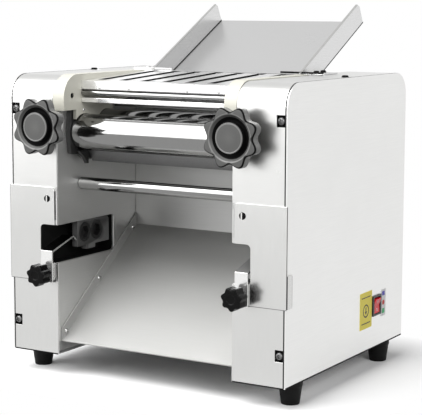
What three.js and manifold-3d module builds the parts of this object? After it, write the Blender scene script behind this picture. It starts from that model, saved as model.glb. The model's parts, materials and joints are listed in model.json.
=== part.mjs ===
// Desktop electric pasta machine: two steel towers carry a pair of sheeting rollers
// above a delivery ramp, with a loading chute behind and clamps for a cutter in front.
// X runs to the right, Y to the back and Z up, and lengths are millimetres.
// Every place is measured from the middle of the front plane, at the underside of the body,
// until the last lines stand the machine on its feet.

import * as THREE from 'three';
import { mergeVertices } from 'three/addons/utils/BufferGeometryUtils.js';
import Module from 'manifold-3d';

const wasm = await Module();
wasm.setup();

// Body
const bodyWidth = 370;
const bodyDepth = 311.5;
const bodyHeight = 330;
const towerWidth = 66.5;
const cornerRadius = 27;
const sidePanelThickness = 1.5;
const coverThickness = 1.2;
const framePlateThickness = 3;
const baseThickness = 3;
const baseCrossFront = 110;
const seatGap = 0.3;
const runningGap = 0.3;
const cutOverrun = 5;

// Front of a tower
const coverSeamDrop = 130.6;
const coverTuck = 8;
const lowerPlateClearance = 22.8;
const frontPlateSetIn = 3;
const frontPlateCornerRadius = 5;
const earLength = 13.8;
const earHeight = 37;
const screwNotchWidth = 11;
const screwNotchHeight = 13;
const upperScrewDrop = 40;
const lowerScrewShare = 0.413;
const topBoltPlace = 161;

// Window for a cutter
const windowHeight = 44.5;
const windowTopRoom = 0.2;
const windowBackRoom = 2.4;
const windowCornerRadius = 5;
const notchWidth = 23.5;
const linerMargin = 3;
const linerGap = 1;

// Feet
const footHeight = 26;
const footTopRadius = 13.8;
const footBottomRadius = 10.4;
const footSideInset = 13.9;
const footFrontInset = 39.5;

// Rollers
const rollerRadius = 21.5;
const rollerGap = 2;
const gapClosing = 1;
const gapOpening = 2.4;
const rollerEndGap = 0.4;
const rollerChamfer = 0.6;
const shaftRadius = 7;
const frontRollerPlace = 42;
const frontRollerDrop = 67.7;
const rearRollerRise = 3.5;

// Bearings
const bearingWidth = 12;
const bearingRadius = 19;
const blockWidth = 14;
const blockFront = 18;
const blockBack = 16;
const blockHalfHeight = 19;
const blockCorner = 3;

// Roller side guides and scrapers
const guideThickness = 5.6;
const guideFront = 23.8;
const guideBack = 19;
const guideDrop = 25.7;
const guideTopGap = 0.6;
const guideBulge = 2.4;
const guideCorner = 4;
const clawThickness = 4.4;
const clawFront = 11;
const clawBack = 15.3;
const clawTopDrop = 22.1;
const clawMiddleDrop = 31;
const clawTipDrop = 38.2;
const clawTipWidth = 2.6;
const scraperThickness = 1.6;
const scraperReach = 17;
const scraperSlant = 60;
const scraperContact = 70;

// Cheeks and guard
const cheekWidth = 16;
const cheekOverlap = 4.8;
const cheekTopRise = 1;
const cheekClearance = 5.7;
const cheekStepRise = 5.5;
const cheekFootDepth = 24;
const cheekStepDepth = 33;
const cheekEarGap = 18;
const cheekTailHeight = 19;
const cheekTailLength = 8;
const cheekPinPlace = 16.6;
const cheekPinRise = 16.8;
const cheekPinRadius = 3.3;
const cheekPinDepth = 8;
const lugThickness = 4.6;
const lugFrontReach = 17.5;
const lugBackReach = 13.1;
const lugDrop = 16.5;
const lugClearance = 0.5;
const guardThickness = 1.5;
const guardFront = 34;
const guardEarGap = 7;
const guardFrontDrop = 6.8;
const guardBackRise = 0.6;
const guardLipHeight = 9.7;
const guardSlotCount = 7;
const guardEndMargin = 17;
const guardSlotWidth = 12;
const guardSlotFrontMargin = 17;
const guardSlotBackMargin = 6;
const guardRodRadius = 2.9;
const guardRodDrop = 21;
const guardStripHeight = 5.3;
const guardStripDrop = 32;
const guardStripThickness = 2;

// Loading chute
const chuteSideGap = 1.4;
const chuteThickness = 1.5;
const chuteRun = 125;
const chuteRise = 65.1;
const chuteFootInset = 18;
const chuteFootDrop = 4.4;
const chuteMouthReach = 11.1;
const chuteMouthClearance = 3.9;
const flangeHeight = 26;
const flangeTipSetBack = 4;
const flangeFootGap = 1.7;
const chuteEarWidth = 29.4;
const chuteEarLength = 38;
const chuteEarInset = 4;

// Delivery ramp and inner panels
const rampFront = 6.6;
const rampFrontHeight = 16.6;
const rampBackHeight = 135.8;
const rampThickness = 1.5;
const rampFlangeHeight = 14.6;
const innerPanelInset = 3.3;
const innerPanelLap = 7.8;
const innerPanelTopRoom = 4.4;
const innerPanelThickness = 1.2;
const rearCoverLap = 65.5;
const ventCount = 8;
const ventEndMargin = 41.2;
const ventWidth = 5;
const ventLength = 60;
const ventBottom = 150;
const tieRodRadius = 7.4;
const tieRodSetBack = 6.6;
const tieRodDrop = 62.4;

// Adjusting knobs
const knobSetOut = 10.5;
const knobRise = 9.3;
const knobFaceStand = 26;
const knobRadius = 34.3;
const knobLobeDepth = 6.2;
const knobLobes = 8;
const knobRimDepth = 14;
const knobHubRadius = 12;
const knobHubGap = 0.5;
const knobGrooveOuter = 25.6;
const knobGrooveInner = 17;
const knobGrooveDepth = 6;
const spindleRadius = 4;
const spindleHeadDepth = 18;
const spindleEngagement = 6;
const spindleHoleSpare = 3;

// Cutter clamps
const clampSetOut = 13.5;
const clampDrop = 12.5;
const clampKnobRadius = 13;
const clampKnobLobeDepth = 3;
const clampKnobLobes = 7;
const clampKnobDepth = 15;
const clampHubRadius = 7;
const clampHubLength = 5;
const studRadius = 4;
const studGrip = 9;
const studFlangeRadius = 7.5;
const studFlangeDepth = 4;
const leverWidth = 16.5;
const leverThickness = 2;
const leverBottomDrop = 12;
const leverBendRise = 14;
const leverPeakReach = 39;
const leverPeakRise = 27;
const leverTipReach = 45;
const leverTipRise = 22;

// Gears
const rollerTeeth = 15;
const idlerTeeth = 31;
const socketTeeth = 8;
const driveTeeth = 40;
const pinionTeeth = 12;
const driveModule = 2;
const gearWidth = 10;
const longAddendumShare = 1.2;
const longDedendumShare = 1.84;
const addendumShare = 0.9;
const idlerDedendumShare = 1.34;
const dedendumShare = 1.08;
const toothRootShare = 0.28;
const toothTipShare = 0.09;
const gearClearance = 24.5;
const jackshaftAngle = 43;

// Cutter drive
const socketRadius = 11.7;
const socketRecessRadius = 8.2;
const socketRecessDepth = 7;
const socketShaftRadius = 6;
const cutterBlockThickness = 8;
const cutterBlockClearance = 2.5;
const cutterBlockFrontSide = 15.3;
const cutterBlockBackSide = 26.2;
const cutterBlockCorner = 5;
const cutterBlockRise = 16;
const cutterBlockDrop = 16.6;
const cutterTabWidth = 18;
const cutterTabDrop = 5;

// Belt drive and motor
const pulleyClearance = 22.5;
const pulleyWidth = 11;
const drivenPulleyRadius = 38;
const motorPulleyRadius = 20;
const pulleyFlangeHeight = 3;
const pulleyFlangeWidth = 1.6;
const beltThickness = 3.6;
const beltSideGap = 0.4;
const drivePlay = 2;
const motorInset = 76.5;
const motorRadius = 50;
const motorBellRadius = 40;
const motorBellLength = 18;
const motorLeftRoom = 48.2;
const motorRightRoom = 18.2;
const motorLift = 11.7;
const cradleHalfLength = 45;
const cradleHalfWidth = 36;
const cradleHeight = 18;

// Switch and cable gland
const switchInset = 77.2;
const switchHeight = 51.5;
const bezelHalfDepth = 12;
const bezelHalfHeight = 12.5;
const bezelStand = 1.7;
const switchBodyMargin = 1.6;
const switchBodyRoom = 9;
const rockerHalfDepth = 8;
const rockerHalfHeight = 9;
const rockerCrown = 6.4;
const rockerValley = 4.6;
const rockerRoot = 3;
const rockerPivotDepth = 4;
const rockerTilt = 7;
const rockerSideGap = 0.5;
const rockerEndGap = 1.1;
const glandSetOut = 31.5;
const glandHeight = 32;
const glandRadius = 9;
const glandNeckRadius = 6;
const glandBoreRadius = 3.5;
const glandStand = 9;
const glandNeckLength = 8;

// Lines that several pieces share
const outerX = bodyWidth / 2;
const innerX = outerX - towerWidth;
const frameOuterX = innerX + framePlateThickness;
const panelInnerX = outerX - sidePanelThickness;
const coverOuterX = panelInnerX - seatGap;
const wallInset = coverThickness + seatGap;
const baseTop = baseThickness + seatGap;
const bayX = innerX - seatGap;
const cheekInnerX = innerX + cheekOverlap - cheekWidth;
const cheekOuterX = innerX + cheekOverlap;
const guardX = cheekInnerX - seatGap;
const guardSlotPitch = 2 * (guardX - guardEndMargin) / (guardSlotCount - 1);
const ventPitch = 2 * (bayX - ventEndMargin) / (ventCount - 1);
const frontPlateBack = -seatGap;
const frontPlateFace = frontPlateBack - coverThickness;
const coverSeamHeight = bodyHeight - coverSeamDrop;
const upperScrewHeight = bodyHeight - upperScrewDrop;
const rollerFaceHalf = bayX - guideThickness - rollerEndGap;
const frontRollerHeight = bodyHeight - frontRollerDrop;
const rollerSpacing = 2 * rollerRadius + rollerGap;
const rollerModule = rollerSpacing / rollerTeeth;
const rearRollerPlace = frontRollerPlace + Math.sqrt(rollerSpacing ** 2 - rearRollerRise ** 2);
const rearRollerHeight = frontRollerHeight + rearRollerRise;
const idlerHeight = rearRollerHeight - rollerModule * (rollerTeeth + idlerTeeth) / 2;
const socketHeight = idlerHeight - rollerModule * (idlerTeeth + socketTeeth) / 2;
const socketSpacing = rollerModule * socketTeeth;
const windowTop = socketHeight + cutterBlockRise + windowTopRoom;
const windowBottom = windowTop - windowHeight;
const windowDepth = rearRollerPlace + cutterBlockBackSide + windowBackRoom;
const lowerPlateHeight = windowBottom - lowerPlateClearance;
const lowerScrewHeight = lowerPlateHeight * lowerScrewShare;
const jackshaftReach = driveModule * (driveTeeth + pinionTeeth) / 2;
const jackshaftPlace = rearRollerPlace + jackshaftReach * Math.cos(radians(jackshaftAngle));
const jackshaftHeight = rearRollerHeight - jackshaftReach * Math.sin(radians(jackshaftAngle));
const bearingStart = frameOuterX + seatGap;
const linerX = innerX + notchWidth + linerGap;
const leverBack = frontPlateFace - seatGap;
const leverBendHeight = windowBottom + leverBendRise;
const leverPeakHeight = windowBottom + leverPeakRise;
const leverTipHeight = windowBottom + leverTipRise;
const clampPlace = innerX + clampSetOut;
const clampHeight = windowBottom - clampDrop;
const knobPlace = innerX + knobSetOut;
const knobHeight = frontRollerHeight + knobRise;
const tieRodPlace = frontRollerPlace + tieRodSetBack;
const tieRodHeight = frontRollerHeight - tieRodDrop;
const gearSetOut = frameOuterX + gearClearance;
const pulleySetOut = frameOuterX + pulleyClearance;
const cutterBlockSetOut = frameOuterX + cutterBlockClearance;
const rearCoverFront = bodyDepth - rearCoverLap;
const chuteFoot = rearCoverFront - chuteFootInset;
const chuteFootHeight = bodyHeight - chuteFootDrop;
const chuteTip = chuteFoot + chuteRun;
const chuteTipHeight = chuteFootHeight + chuteRise;
const chuteMouth = rearRollerPlace + chuteMouthReach;
const chuteMouthHeight = rearRollerHeight + rollerRadius + chuteMouthClearance;
const chuteSlope = (chuteFootHeight - chuteMouthHeight) / (chuteFoot - chuteMouth);
const chuteHalfWidth = guardX - chuteSideGap;
const chuteEarBack = chuteFoot - chuteEarInset;
const chuteEarFront = chuteEarBack - chuteEarLength;
const cheekLength = chuteEarFront - cheekEarGap;
const cheekBottomHeight = frontRollerHeight + rollerRadius + cheekClearance;
const cheekStepHeight = cheekBottomHeight + cheekStepRise;
const guardBack = chuteEarFront - guardEarGap;
const guardFrontHeight = bodyHeight - guardFrontDrop;
const guardBackHeight = bodyHeight + guardBackRise;
const innerPanelFront = cheekLength - innerPanelInset;
const rampBack = innerPanelFront - seatGap;
const innerPanelBottom = rampBackHeight - innerPanelLap;
const innerPanelTop = chuteMouthHeight + chuteSlope * (innerPanelFront - chuteMouth)
  - chuteThickness - innerPanelTopRoom;
const motorPlace = bodyDepth - motorInset;
const motorHeight = baseTop + motorRadius + motorLift;
const motorStart = motorLeftRoom - bayX;
const motorShaftEnd = bayX - motorRightRoom;
const switchPlace = bodyDepth - switchInset;
const switchBodyEnd = pulleySetOut + pulleyWidth + switchBodyRoom;
const glandPlace = innerX + glandSetOut;

// Materials
function finish(color, roughness, metalness) {
  return new THREE.MeshStandardMaterial({ color, roughness, metalness });
}
const brushedSteel = finish(0xd2d2cf, 0.38, 0.85);
const polishedSteel = finish(0xe6e6e4, 0.12, 1);
const machinedSteel = finish(0x9a9a98, 0.35, 0.9);
const creamPlastic = finish(0xf1f0e0, 0.45, 0);
const blackPlastic = finish(0x161616, 0.4, 0);
const greyPlastic = finish(0x4a4a4c, 0.5, 0);
const blackRubber = finish(0x101010, 0.8, 0);
const redPlastic = finish(0xc81420, 0.3, 0);
const motorPaint = finish(0x50565a, 0.55, 0.2);

// Solids
function radians(degrees) {
  return degrees * Math.PI / 180;
}

function solid(geometry) {
  geometry.deleteAttribute('normal');
  geometry.deleteAttribute('uv');
  const merged = mergeVertices(geometry);
  return new wasm.Manifold(new wasm.Mesh({
    numProp: 3,
    vertProperties: new Float32Array(merged.attributes.position.array),
    triVerts: new Uint32Array(merged.index.array),
  }));
}

function surface(manifold) {
  const mesh = manifold.getMesh();
  const geometry = new THREE.BufferGeometry();
  geometry.setAttribute('position', new THREE.BufferAttribute(mesh.vertProperties, 3));
  geometry.setIndex(new THREE.BufferAttribute(mesh.triVerts, 1));
  geometry.computeVertexNormals();
  return geometry;
}

// The same geometry on the other side of the machine, with its faces turned to stay outward
function mirrored(geometry) {
  const copy = geometry.clone().scale(-1, 1, 1);
  const corners = copy.index.array;
  for (let i = 0; i < corners.length; i += 3) {
    [corners[i], corners[i + 1]] = [corners[i + 1], corners[i]];
  }
  copy.computeVertexNormals();
  return copy;
}

function box(x0, x1, y0, y1, z0, z1) {
  const geometry = new THREE.BoxGeometry(x1 - x0, y1 - y0, z1 - z0);
  return solid(geometry.translate((x0 + x1) / 2, (y0 + y1) / 2, (z0 + z1) / 2));
}

function extruded(outline, depth, holes = []) {
  const shape = new THREE.Shape(outline);
  shape.holes = holes.map((points) => new THREE.Path(points));
  return new THREE.ExtrudeGeometry(shape, { depth, bevelEnabled: false, steps: 1 });
}

// An outline of (Y, Z) points, drawn out along X
function alongX(outline, x0, x1, holes = []) {
  const turn = new THREE.Matrix4().makeBasis(
    new THREE.Vector3(0, 1, 0),
    new THREE.Vector3(0, 0, 1),
    new THREE.Vector3(1, 0, 0),
  );
  return solid(extruded(outline, x1 - x0, holes).applyMatrix4(turn).translate(x0, 0, 0));
}

// An outline of (X, Z) points, drawn out along Y
function alongY(outline, y0, y1, holes = []) {
  return solid(extruded(outline, y1 - y0, holes).rotateX(Math.PI / 2).translate(0, y1, 0));
}

function arc(x, y, radius, from, to, steps) {
  const points = [];
  for (let i = 0; i <= steps; i += 1) {
    const angle = radians(from + (to - from) * i / steps);
    points.push(new THREE.Vector2(x + radius * Math.cos(angle), y + radius * Math.sin(angle)));
  }
  return points;
}

function circle(x, y, radius, sides) {
  return arc(x, y, radius, 0, 360 * (sides - 1) / sides, sides - 1);
}

function points(...pairs) {
  return pairs.map(([x, y]) => new THREE.Vector2(x, y));
}

function roundedBox(x0, x1, y0, y1, radius) {
  return [
    ...arc(x1 - radius, y1 - radius, radius, 0, 90, 4),
    ...arc(x0 + radius, y1 - radius, radius, 90, 180, 4),
    ...arc(x0 + radius, y0 + radius, radius, 180, 270, 4),
    ...arc(x1 - radius, y0 + radius, radius, 270, 360, 4),
  ];
}

// Round bars along X and Y
function barX(radius, x0, x1, y, z, sides = 24) {
  return alongX(circle(y, z, radius, sides), x0, x1);
}

function barY(radius, y0, y1, x, z, sides = 24) {
  return alongY(circle(x, z, radius, sides), y0, y1);
}

// A turned piece about X, from a profile of (radius, X) pairs that starts and ends on the axis
function turnedX(profile, sides) {
  const outline = profile.map(([radius, place]) => new THREE.Vector2(radius, place));
  return solid(new THREE.LatheGeometry(outline, sides).rotateZ(-Math.PI / 2));
}

// A turned piece about Y, from a profile of (radius, Y) pairs
function turnedY(profile, sides) {
  const outline = profile.map(([radius, place]) => new THREE.Vector2(radius, place));
  return solid(new THREE.LatheGeometry(outline, sides));
}

const machine = new THREE.Group();

function add(name, shape, material, place = [0, 0, 0], turn = [0, 0, 0]) {
  const geometry = shape instanceof THREE.BufferGeometry ? shape : surface(shape);
  const mesh = new THREE.Mesh(geometry, material);
  mesh.name = name;
  mesh.position.set(...place);
  mesh.rotation.set(...turn);
  machine.add(mesh);
}

// A piece of the right side and its mirror image on the left
function addPair(name, shape, material, place = [0, 0, 0]) {
  const geometry = surface(shape);
  const [x, y, z] = place;
  add(`right_${name}`, geometry, material, [x, y, z]);
  add(`left_${name}`, mirrored(geometry), material, [-x, y, z]);
}

// Casing
function sideOutline(inset, bottom) {
  const radius = cornerRadius - inset;
  const top = bodyHeight - inset;
  return [
    ...points([bodyDepth - inset, bottom]),
    ...arc(bodyDepth - inset - radius, top - radius, radius, 0, 90, 8),
    ...arc(inset + radius, top - radius, radius, 90, 180, 8),
    ...points([inset, bottom]),
  ];
}

function cheekSpace() {
  return box(
    innerX - cutOverrun, cheekOuterX + seatGap,
    -cutOverrun, cheekLength + seatGap,
    cheekBottomHeight - seatGap, bodyHeight + cutOverrun,
  );
}

function edgeNotch(height) {
  return box(
    coverOuterX - screwNotchWidth, coverOuterX + cutOverrun,
    -cutOverrun, coverThickness + cutOverrun,
    height - screwNotchHeight / 2, height + screwNotchHeight / 2,
  );
}

function towerCover() {
  const shell = alongX(sideOutline(0, 0), innerX, coverOuterX)
    .subtract(alongX(sideOutline(coverThickness, -cutOverrun), innerX - cutOverrun, outerX));
  const belowSeam = box(
    innerX - cutOverrun, outerX, -cutOverrun, cornerRadius, -cutOverrun, coverSeamHeight - coverTuck,
  );
  const boltNotch = box(
    coverOuterX - screwNotchWidth, outerX,
    topBoltPlace - screwNotchHeight / 2, topBoltPlace + screwNotchHeight / 2,
    bodyHeight - coverThickness - cutOverrun, bodyHeight + cutOverrun,
  );
  return shell
    .subtract(belowSeam)
    .subtract(cheekSpace())
    .subtract(edgeNotch(upperScrewHeight))
    .subtract(boltNotch)
    .subtract(barY(spindleRadius + 2 * runningGap, -cutOverrun, cornerRadius, knobPlace, knobHeight));
}

function frontPlate() {
  const left = innerX + frontPlateSetIn;
  const right = outerX + seatGap + coverThickness;
  const bottom = lowerPlateHeight + seatGap;
  const outline = roundedBox(left, right, bottom, coverSeamHeight, frontPlateCornerRadius);
  const notch = roundedBox(
    innerX - cutOverrun, innerX + notchWidth,
    windowBottom, windowTop + seatGap,
    windowCornerRadius,
  );
  const ear = box(
    outerX + seatGap, right, frontPlateFace, frontPlateFace + earLength, bottom, bottom + earHeight,
  );
  const squareEdge = box(
    right - 2 * frontPlateCornerRadius, right, frontPlateFace, frontPlateBack, bottom, coverSeamHeight,
  );
  const stud = barY(studRadius, frontPlateFace - leverThickness - studGrip, 0, clampPlace, clampHeight);
  const nut = barY(studFlangeRadius, frontPlateBack, studFlangeDepth, clampPlace, clampHeight, 6);
  return alongY(outline, frontPlateFace, frontPlateBack)
    .add(squareEdge)
    .add(ear)
    .subtract(alongY(notch, frontPlateFace - cutOverrun, cutOverrun))
    .add(stud)
    .add(nut);
}

function lowerPlate() {
  return box(innerX, coverOuterX, 0, coverThickness, 0, lowerPlateHeight)
    .subtract(edgeNotch(lowerScrewHeight));
}

function framePlate() {
  const top = bodyHeight - wallInset;
  const back = bodyDepth - wallInset;
  const radius = cornerRadius - wallInset;
  const shelf = cheekBottomHeight - 2 * seatGap;
  const step = cheekLength + 2 * seatGap;
  const outline = [
    ...points([back, baseTop]),
    ...arc(back - radius, top - radius, radius, 0, 90, 8),
    ...points([step, top], [step, shelf], [wallInset, shelf], [wallInset, baseTop]),
  ];
  const opening = roundedBox(-windowDepth, windowDepth, windowBottom, windowTop, windowCornerRadius);
  const shaftSlot = roundedBox(
    frontRollerPlace - gapOpening - shaftRadius - runningGap,
    frontRollerPlace + gapClosing + shaftRadius + runningGap,
    frontRollerHeight - shaftRadius - runningGap,
    frontRollerHeight + shaftRadius + runningGap,
    shaftRadius,
  );
  const through = [innerX - cutOverrun, frameOuterX + cutOverrun];
  return alongX(outline, innerX, frameOuterX)
    .subtract(alongX(opening, ...through))
    .subtract(alongX(shaftSlot, ...through))
    .subtract(barX(shaftRadius + runningGap, ...through, rearRollerPlace, rearRollerHeight));
}

function rightFramePlate() {
  const inside = innerX - cutOverrun;
  const bossEnd = pulleySetOut - linerGap - seatGap;
  const boss = barX(2 * shaftRadius, frameOuterX - seatGap, bossEnd, jackshaftPlace, jackshaftHeight);
  const jackshaftBore = barX(
    shaftRadius + runningGap, frameOuterX, bossEnd + cutOverrun, jackshaftPlace, jackshaftHeight,
  );
  const motorHole = barX(
    shaftRadius + drivePlay, inside, frameOuterX + cutOverrun, motorPlace, motorHeight,
  );
  return framePlate().add(boss).subtract(jackshaftBore).subtract(motorHole);
}

function leftFramePlate() {
  const stubEnd = gearSetOut + gearWidth;
  const stub = barX(shaftRadius, frameOuterX - seatGap, stubEnd, rearRollerPlace, idlerHeight);
  return mirrored(surface(framePlate().add(stub)));
}

function baseFrame() {
  const back = bodyDepth - wallInset;
  const plate = box(-coverOuterX, coverOuterX, wallInset, back, 0, baseThickness);
  const bay = box(
    -innerX, innerX, -cutOverrun, baseCrossFront, -cutOverrun, baseThickness + cutOverrun,
  );
  const middle = (motorStart + motorShaftEnd) / 2;
  const cradle = box(
    middle - cradleHalfLength, middle + cradleHalfLength,
    motorPlace - cradleHalfWidth, motorPlace + cradleHalfWidth,
    baseThickness - seatGap, baseThickness + cradleHeight,
  );
  const hollow = barX(motorRadius + seatGap, -innerX, innerX, motorPlace, motorHeight, 48);
  return plate.subtract(bay).add(cradle.subtract(hollow));
}

function sidePanel() {
  return alongX(sideOutline(0, 0), panelInnerX, outerX);
}

function switchCutout() {
  const depth = bezelHalfDepth - switchBodyMargin + seatGap;
  const height = bezelHalfHeight - switchBodyMargin + seatGap;
  return box(
    panelInnerX - cutOverrun, outerX + cutOverrun,
    switchPlace - depth, switchPlace + depth,
    switchHeight - height, switchHeight + height,
  );
}

function windowLiner() {
  const back = windowDepth + linerMargin;
  const bottom = windowBottom - linerMargin;
  const top = windowTop + linerMargin;
  const outside = box(bearingStart, linerX + coverThickness, wallInset, back, bottom, top);
  const inside = box(
    bearingStart - cutOverrun, linerX,
    -cutOverrun, back - coverThickness,
    bottom + coverThickness, top - coverThickness,
  );
  return outside.subtract(inside);
}

function leftWindowLiner() {
  const holes = [rearRollerPlace, rearRollerPlace - socketSpacing].map((place) => barX(
    socketShaftRadius + runningGap, linerX - cutOverrun, linerX + cutOverrun, place, socketHeight,
  ));
  const liner = holes.reduce((plate, hole) => plate.subtract(hole), windowLiner());
  return mirrored(surface(liner));
}

function rearCover() {
  const back = bodyDepth - wallInset;
  const top = bodyHeight - wallInset;
  const corner = cornerRadius - wallInset;
  const outline = [
    ...points([back, baseTop]),
    ...arc(back - corner, top - corner, corner, 0, 90, 8),
    ...points([rearCoverFront, top], [rearCoverFront, top - coverThickness]),
    ...arc(back - corner, top - corner, corner - coverThickness, 90, 0, 8),
    ...points([back - coverThickness, baseTop]),
  ];
  let cover = alongX(outline, -bayX, bayX);
  for (let i = 0; i < ventCount; i += 1) {
    const middle = ventPitch * (i - (ventCount - 1) / 2);
    const slot = roundedBox(
      middle - ventWidth / 2, middle + ventWidth / 2,
      ventBottom, ventBottom + ventLength,
      ventWidth / 2,
    );
    cover = cover.subtract(alongY(slot, back - cutOverrun, back + cutOverrun));
  }
  return cover;
}

function foot() {
  return solid(new THREE.LatheGeometry(points(
    [0, -footHeight],
    [footBottomRadius, -footHeight],
    [footTopRadius, -seatGap],
    [0, -seatGap],
  ), 24).rotateX(Math.PI / 2));
}

// Delivery ramp and the panel behind it
function ramp() {
  const slope = (rampBackHeight - rampFrontHeight) / (rampBack - rampFront);
  const drop = rampThickness * Math.sqrt(1 + slope ** 2);
  const plate = points(
    [rampFront, rampFrontHeight - drop],
    [rampBack, rampBackHeight - drop],
    [rampBack, rampBackHeight],
    [rampFront, rampFrontHeight],
  );
  const flange = points(
    [rampFront, rampFrontHeight - drop],
    [rampBack, rampBackHeight - drop],
    [rampBack, rampBackHeight + rampFlangeHeight],
    [rampFront, rampFrontHeight + rampFlangeHeight],
  );
  return alongX(plate, -bayX, bayX)
    .add(alongX(flange, bayX - rampThickness, bayX))
    .add(alongX(flange, -bayX, rampThickness - bayX));
}

function innerPanel() {
  return box(
    -bayX, bayX, innerPanelFront, innerPanelFront + innerPanelThickness, innerPanelBottom, innerPanelTop,
  );
}

// Loading chute
function chute() {
  const rise = new THREE.Vector2(chuteTip - chuteFoot, chuteTipHeight - chuteFootHeight).normalize();
  const normal = new THREE.Vector2(-rise.y, rise.x);
  const tip = new THREE.Vector2(chuteTip, chuteTipHeight);
  const tipUnder = tip.clone().addScaledVector(normal, -chuteThickness);
  const tipCorner = tip.clone().addScaledVector(normal, flangeHeight - flangeTipSetBack);
  const topCorner = tip.clone()
    .addScaledVector(normal, flangeHeight)
    .addScaledVector(rise, -flangeTipSetBack);
  const ledge = bodyHeight + seatGap;
  const flangeStart = guardBack + flangeFootGap;
  const plate = [
    ...points(
      [chuteMouth, chuteMouthHeight],
      [chuteMouth, chuteMouthHeight - chuteThickness],
      [chuteFoot, chuteFootHeight - chuteThickness],
    ),
    tipUnder,
    tip,
    ...points([chuteFoot, chuteFootHeight]),
  ];
  const flange = [
    tipCorner,
    topCorner,
    ...points(
      [flangeStart, ledge],
      [flangeStart, chuteFootHeight - flangeHeight / 2],
      [chuteFoot, chuteFootHeight - chuteThickness],
    ),
    tipUnder,
  ];
  let sheet = alongX(plate, -chuteHalfWidth, chuteHalfWidth);
  for (const side of [-1, 1]) {
    const edge = side * chuteHalfWidth;
    const inner = side * (chuteHalfWidth - chuteThickness);
    const ear = side * (chuteHalfWidth + chuteEarWidth);
    sheet = sheet
      .add(alongX(flange, Math.min(edge, inner), Math.max(edge, inner)))
      .add(box(
        Math.min(inner, ear), Math.max(inner, ear),
        chuteEarFront, chuteEarBack,
        ledge, ledge + chuteThickness,
      ));
  }
  return sheet;
}

// Cheeks and guard
function cheek() {
  const top = bodyHeight + cheekTopRise;
  const outline = [
    ...points(
      [0, cheekBottomHeight],
      [cheekFootDepth, cheekBottomHeight],
      [cheekStepDepth, cheekStepHeight],
      [cheekLength - cheekTailLength, cheekStepHeight],
      [cheekLength, top - cheekTailHeight],
      [cheekLength, top],
    ),
    ...arc(cornerRadius, top - cornerRadius, cornerRadius, 90, 180, 8),
  ];
  const lug = box(
    cheekInnerX, cheekInnerX + lugThickness,
    frontRollerPlace - lugFrontReach, rearRollerPlace + lugBackReach,
    cheekBottomHeight - lugDrop, cheekStepHeight + seatGap,
  );
  const lugX = [cheekInnerX - cutOverrun, cheekOuterX];
  const rollerSpaces = [-gapOpening, 0, gapClosing].map((travel) => barX(
    rollerRadius + lugClearance, ...lugX, frontRollerPlace + travel, frontRollerHeight, 40,
  ));
  rollerSpaces.push(
    barX(rollerRadius + lugClearance, ...lugX, rearRollerPlace, rearRollerHeight, 40),
  );
  const shapedLug = rollerSpaces.reduce((piece, space) => piece.subtract(space), lug);
  const pinHole = barX(
    cheekPinRadius, cheekInnerX - cutOverrun, cheekInnerX + cheekPinDepth,
    cheekPinPlace, cheekBottomHeight + cheekPinRise, 16,
  );
  return alongX(outline, cheekInnerX, cheekOuterX).subtract(pinHole).add(shapedLug);
}

function guardCover() {
  const plate = points(
    [guardFront, guardFrontHeight],
    [guardFront, guardFrontHeight - guardLipHeight],
    [guardFront + guardThickness, guardFrontHeight - guardLipHeight],
    [guardFront + guardThickness, guardFrontHeight - guardThickness],
    [guardBack, guardBackHeight - guardThickness],
    [guardBack, guardBackHeight],
  );
  let cover = alongX(plate, -guardX, guardX);
  for (let i = 0; i < guardSlotCount; i += 1) {
    const middle = guardSlotPitch * (i - (guardSlotCount - 1) / 2);
    cover = cover.subtract(box(
      middle - guardSlotWidth / 2, middle + guardSlotWidth / 2,
      guardFront + guardSlotFrontMargin, guardBack - guardSlotBackMargin,
      guardFrontHeight - cutOverrun, guardBackHeight + cutOverrun,
    ));
  }
  return cover;
}

// Rollers, bearings, side guides and scrapers, each about its own roller's axis
function roller(leftEnd, rightEnd) {
  return turnedX([
    [0, -leftEnd],
    [shaftRadius, -leftEnd],
    [shaftRadius, -rollerFaceHalf],
    [rollerRadius - rollerChamfer, -rollerFaceHalf],
    [rollerRadius, rollerChamfer - rollerFaceHalf],
    [rollerRadius, rollerFaceHalf - rollerChamfer],
    [rollerRadius - rollerChamfer, rollerFaceHalf],
    [shaftRadius, rollerFaceHalf],
    [shaftRadius, rightEnd],
    [0, rightEnd],
  ], 40);
}

function bearingBlock() {
  const rise = knobHeight - frontRollerHeight;
  const block = alongX(
    roundedBox(-blockFront, blockBack, -blockHalfHeight, blockHalfHeight, blockCorner),
    bearingStart,
    bearingStart + blockWidth,
  );
  const spindleHole = barY(
    spindleRadius + runningGap,
    -blockFront - cutOverrun,
    spindleEngagement + spindleHoleSpare - blockFront,
    knobPlace,
    rise,
  );
  return block
    .subtract(barX(shaftRadius + runningGap, innerX, outerX, 0, 0))
    .subtract(spindleHole);
}

function rearBearing() {
  return barX(bearingRadius, bearingStart, bearingStart + bearingWidth, 0, 0, 32)
    .subtract(barX(shaftRadius + runningGap, innerX, outerX, 0, 0));
}

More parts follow.
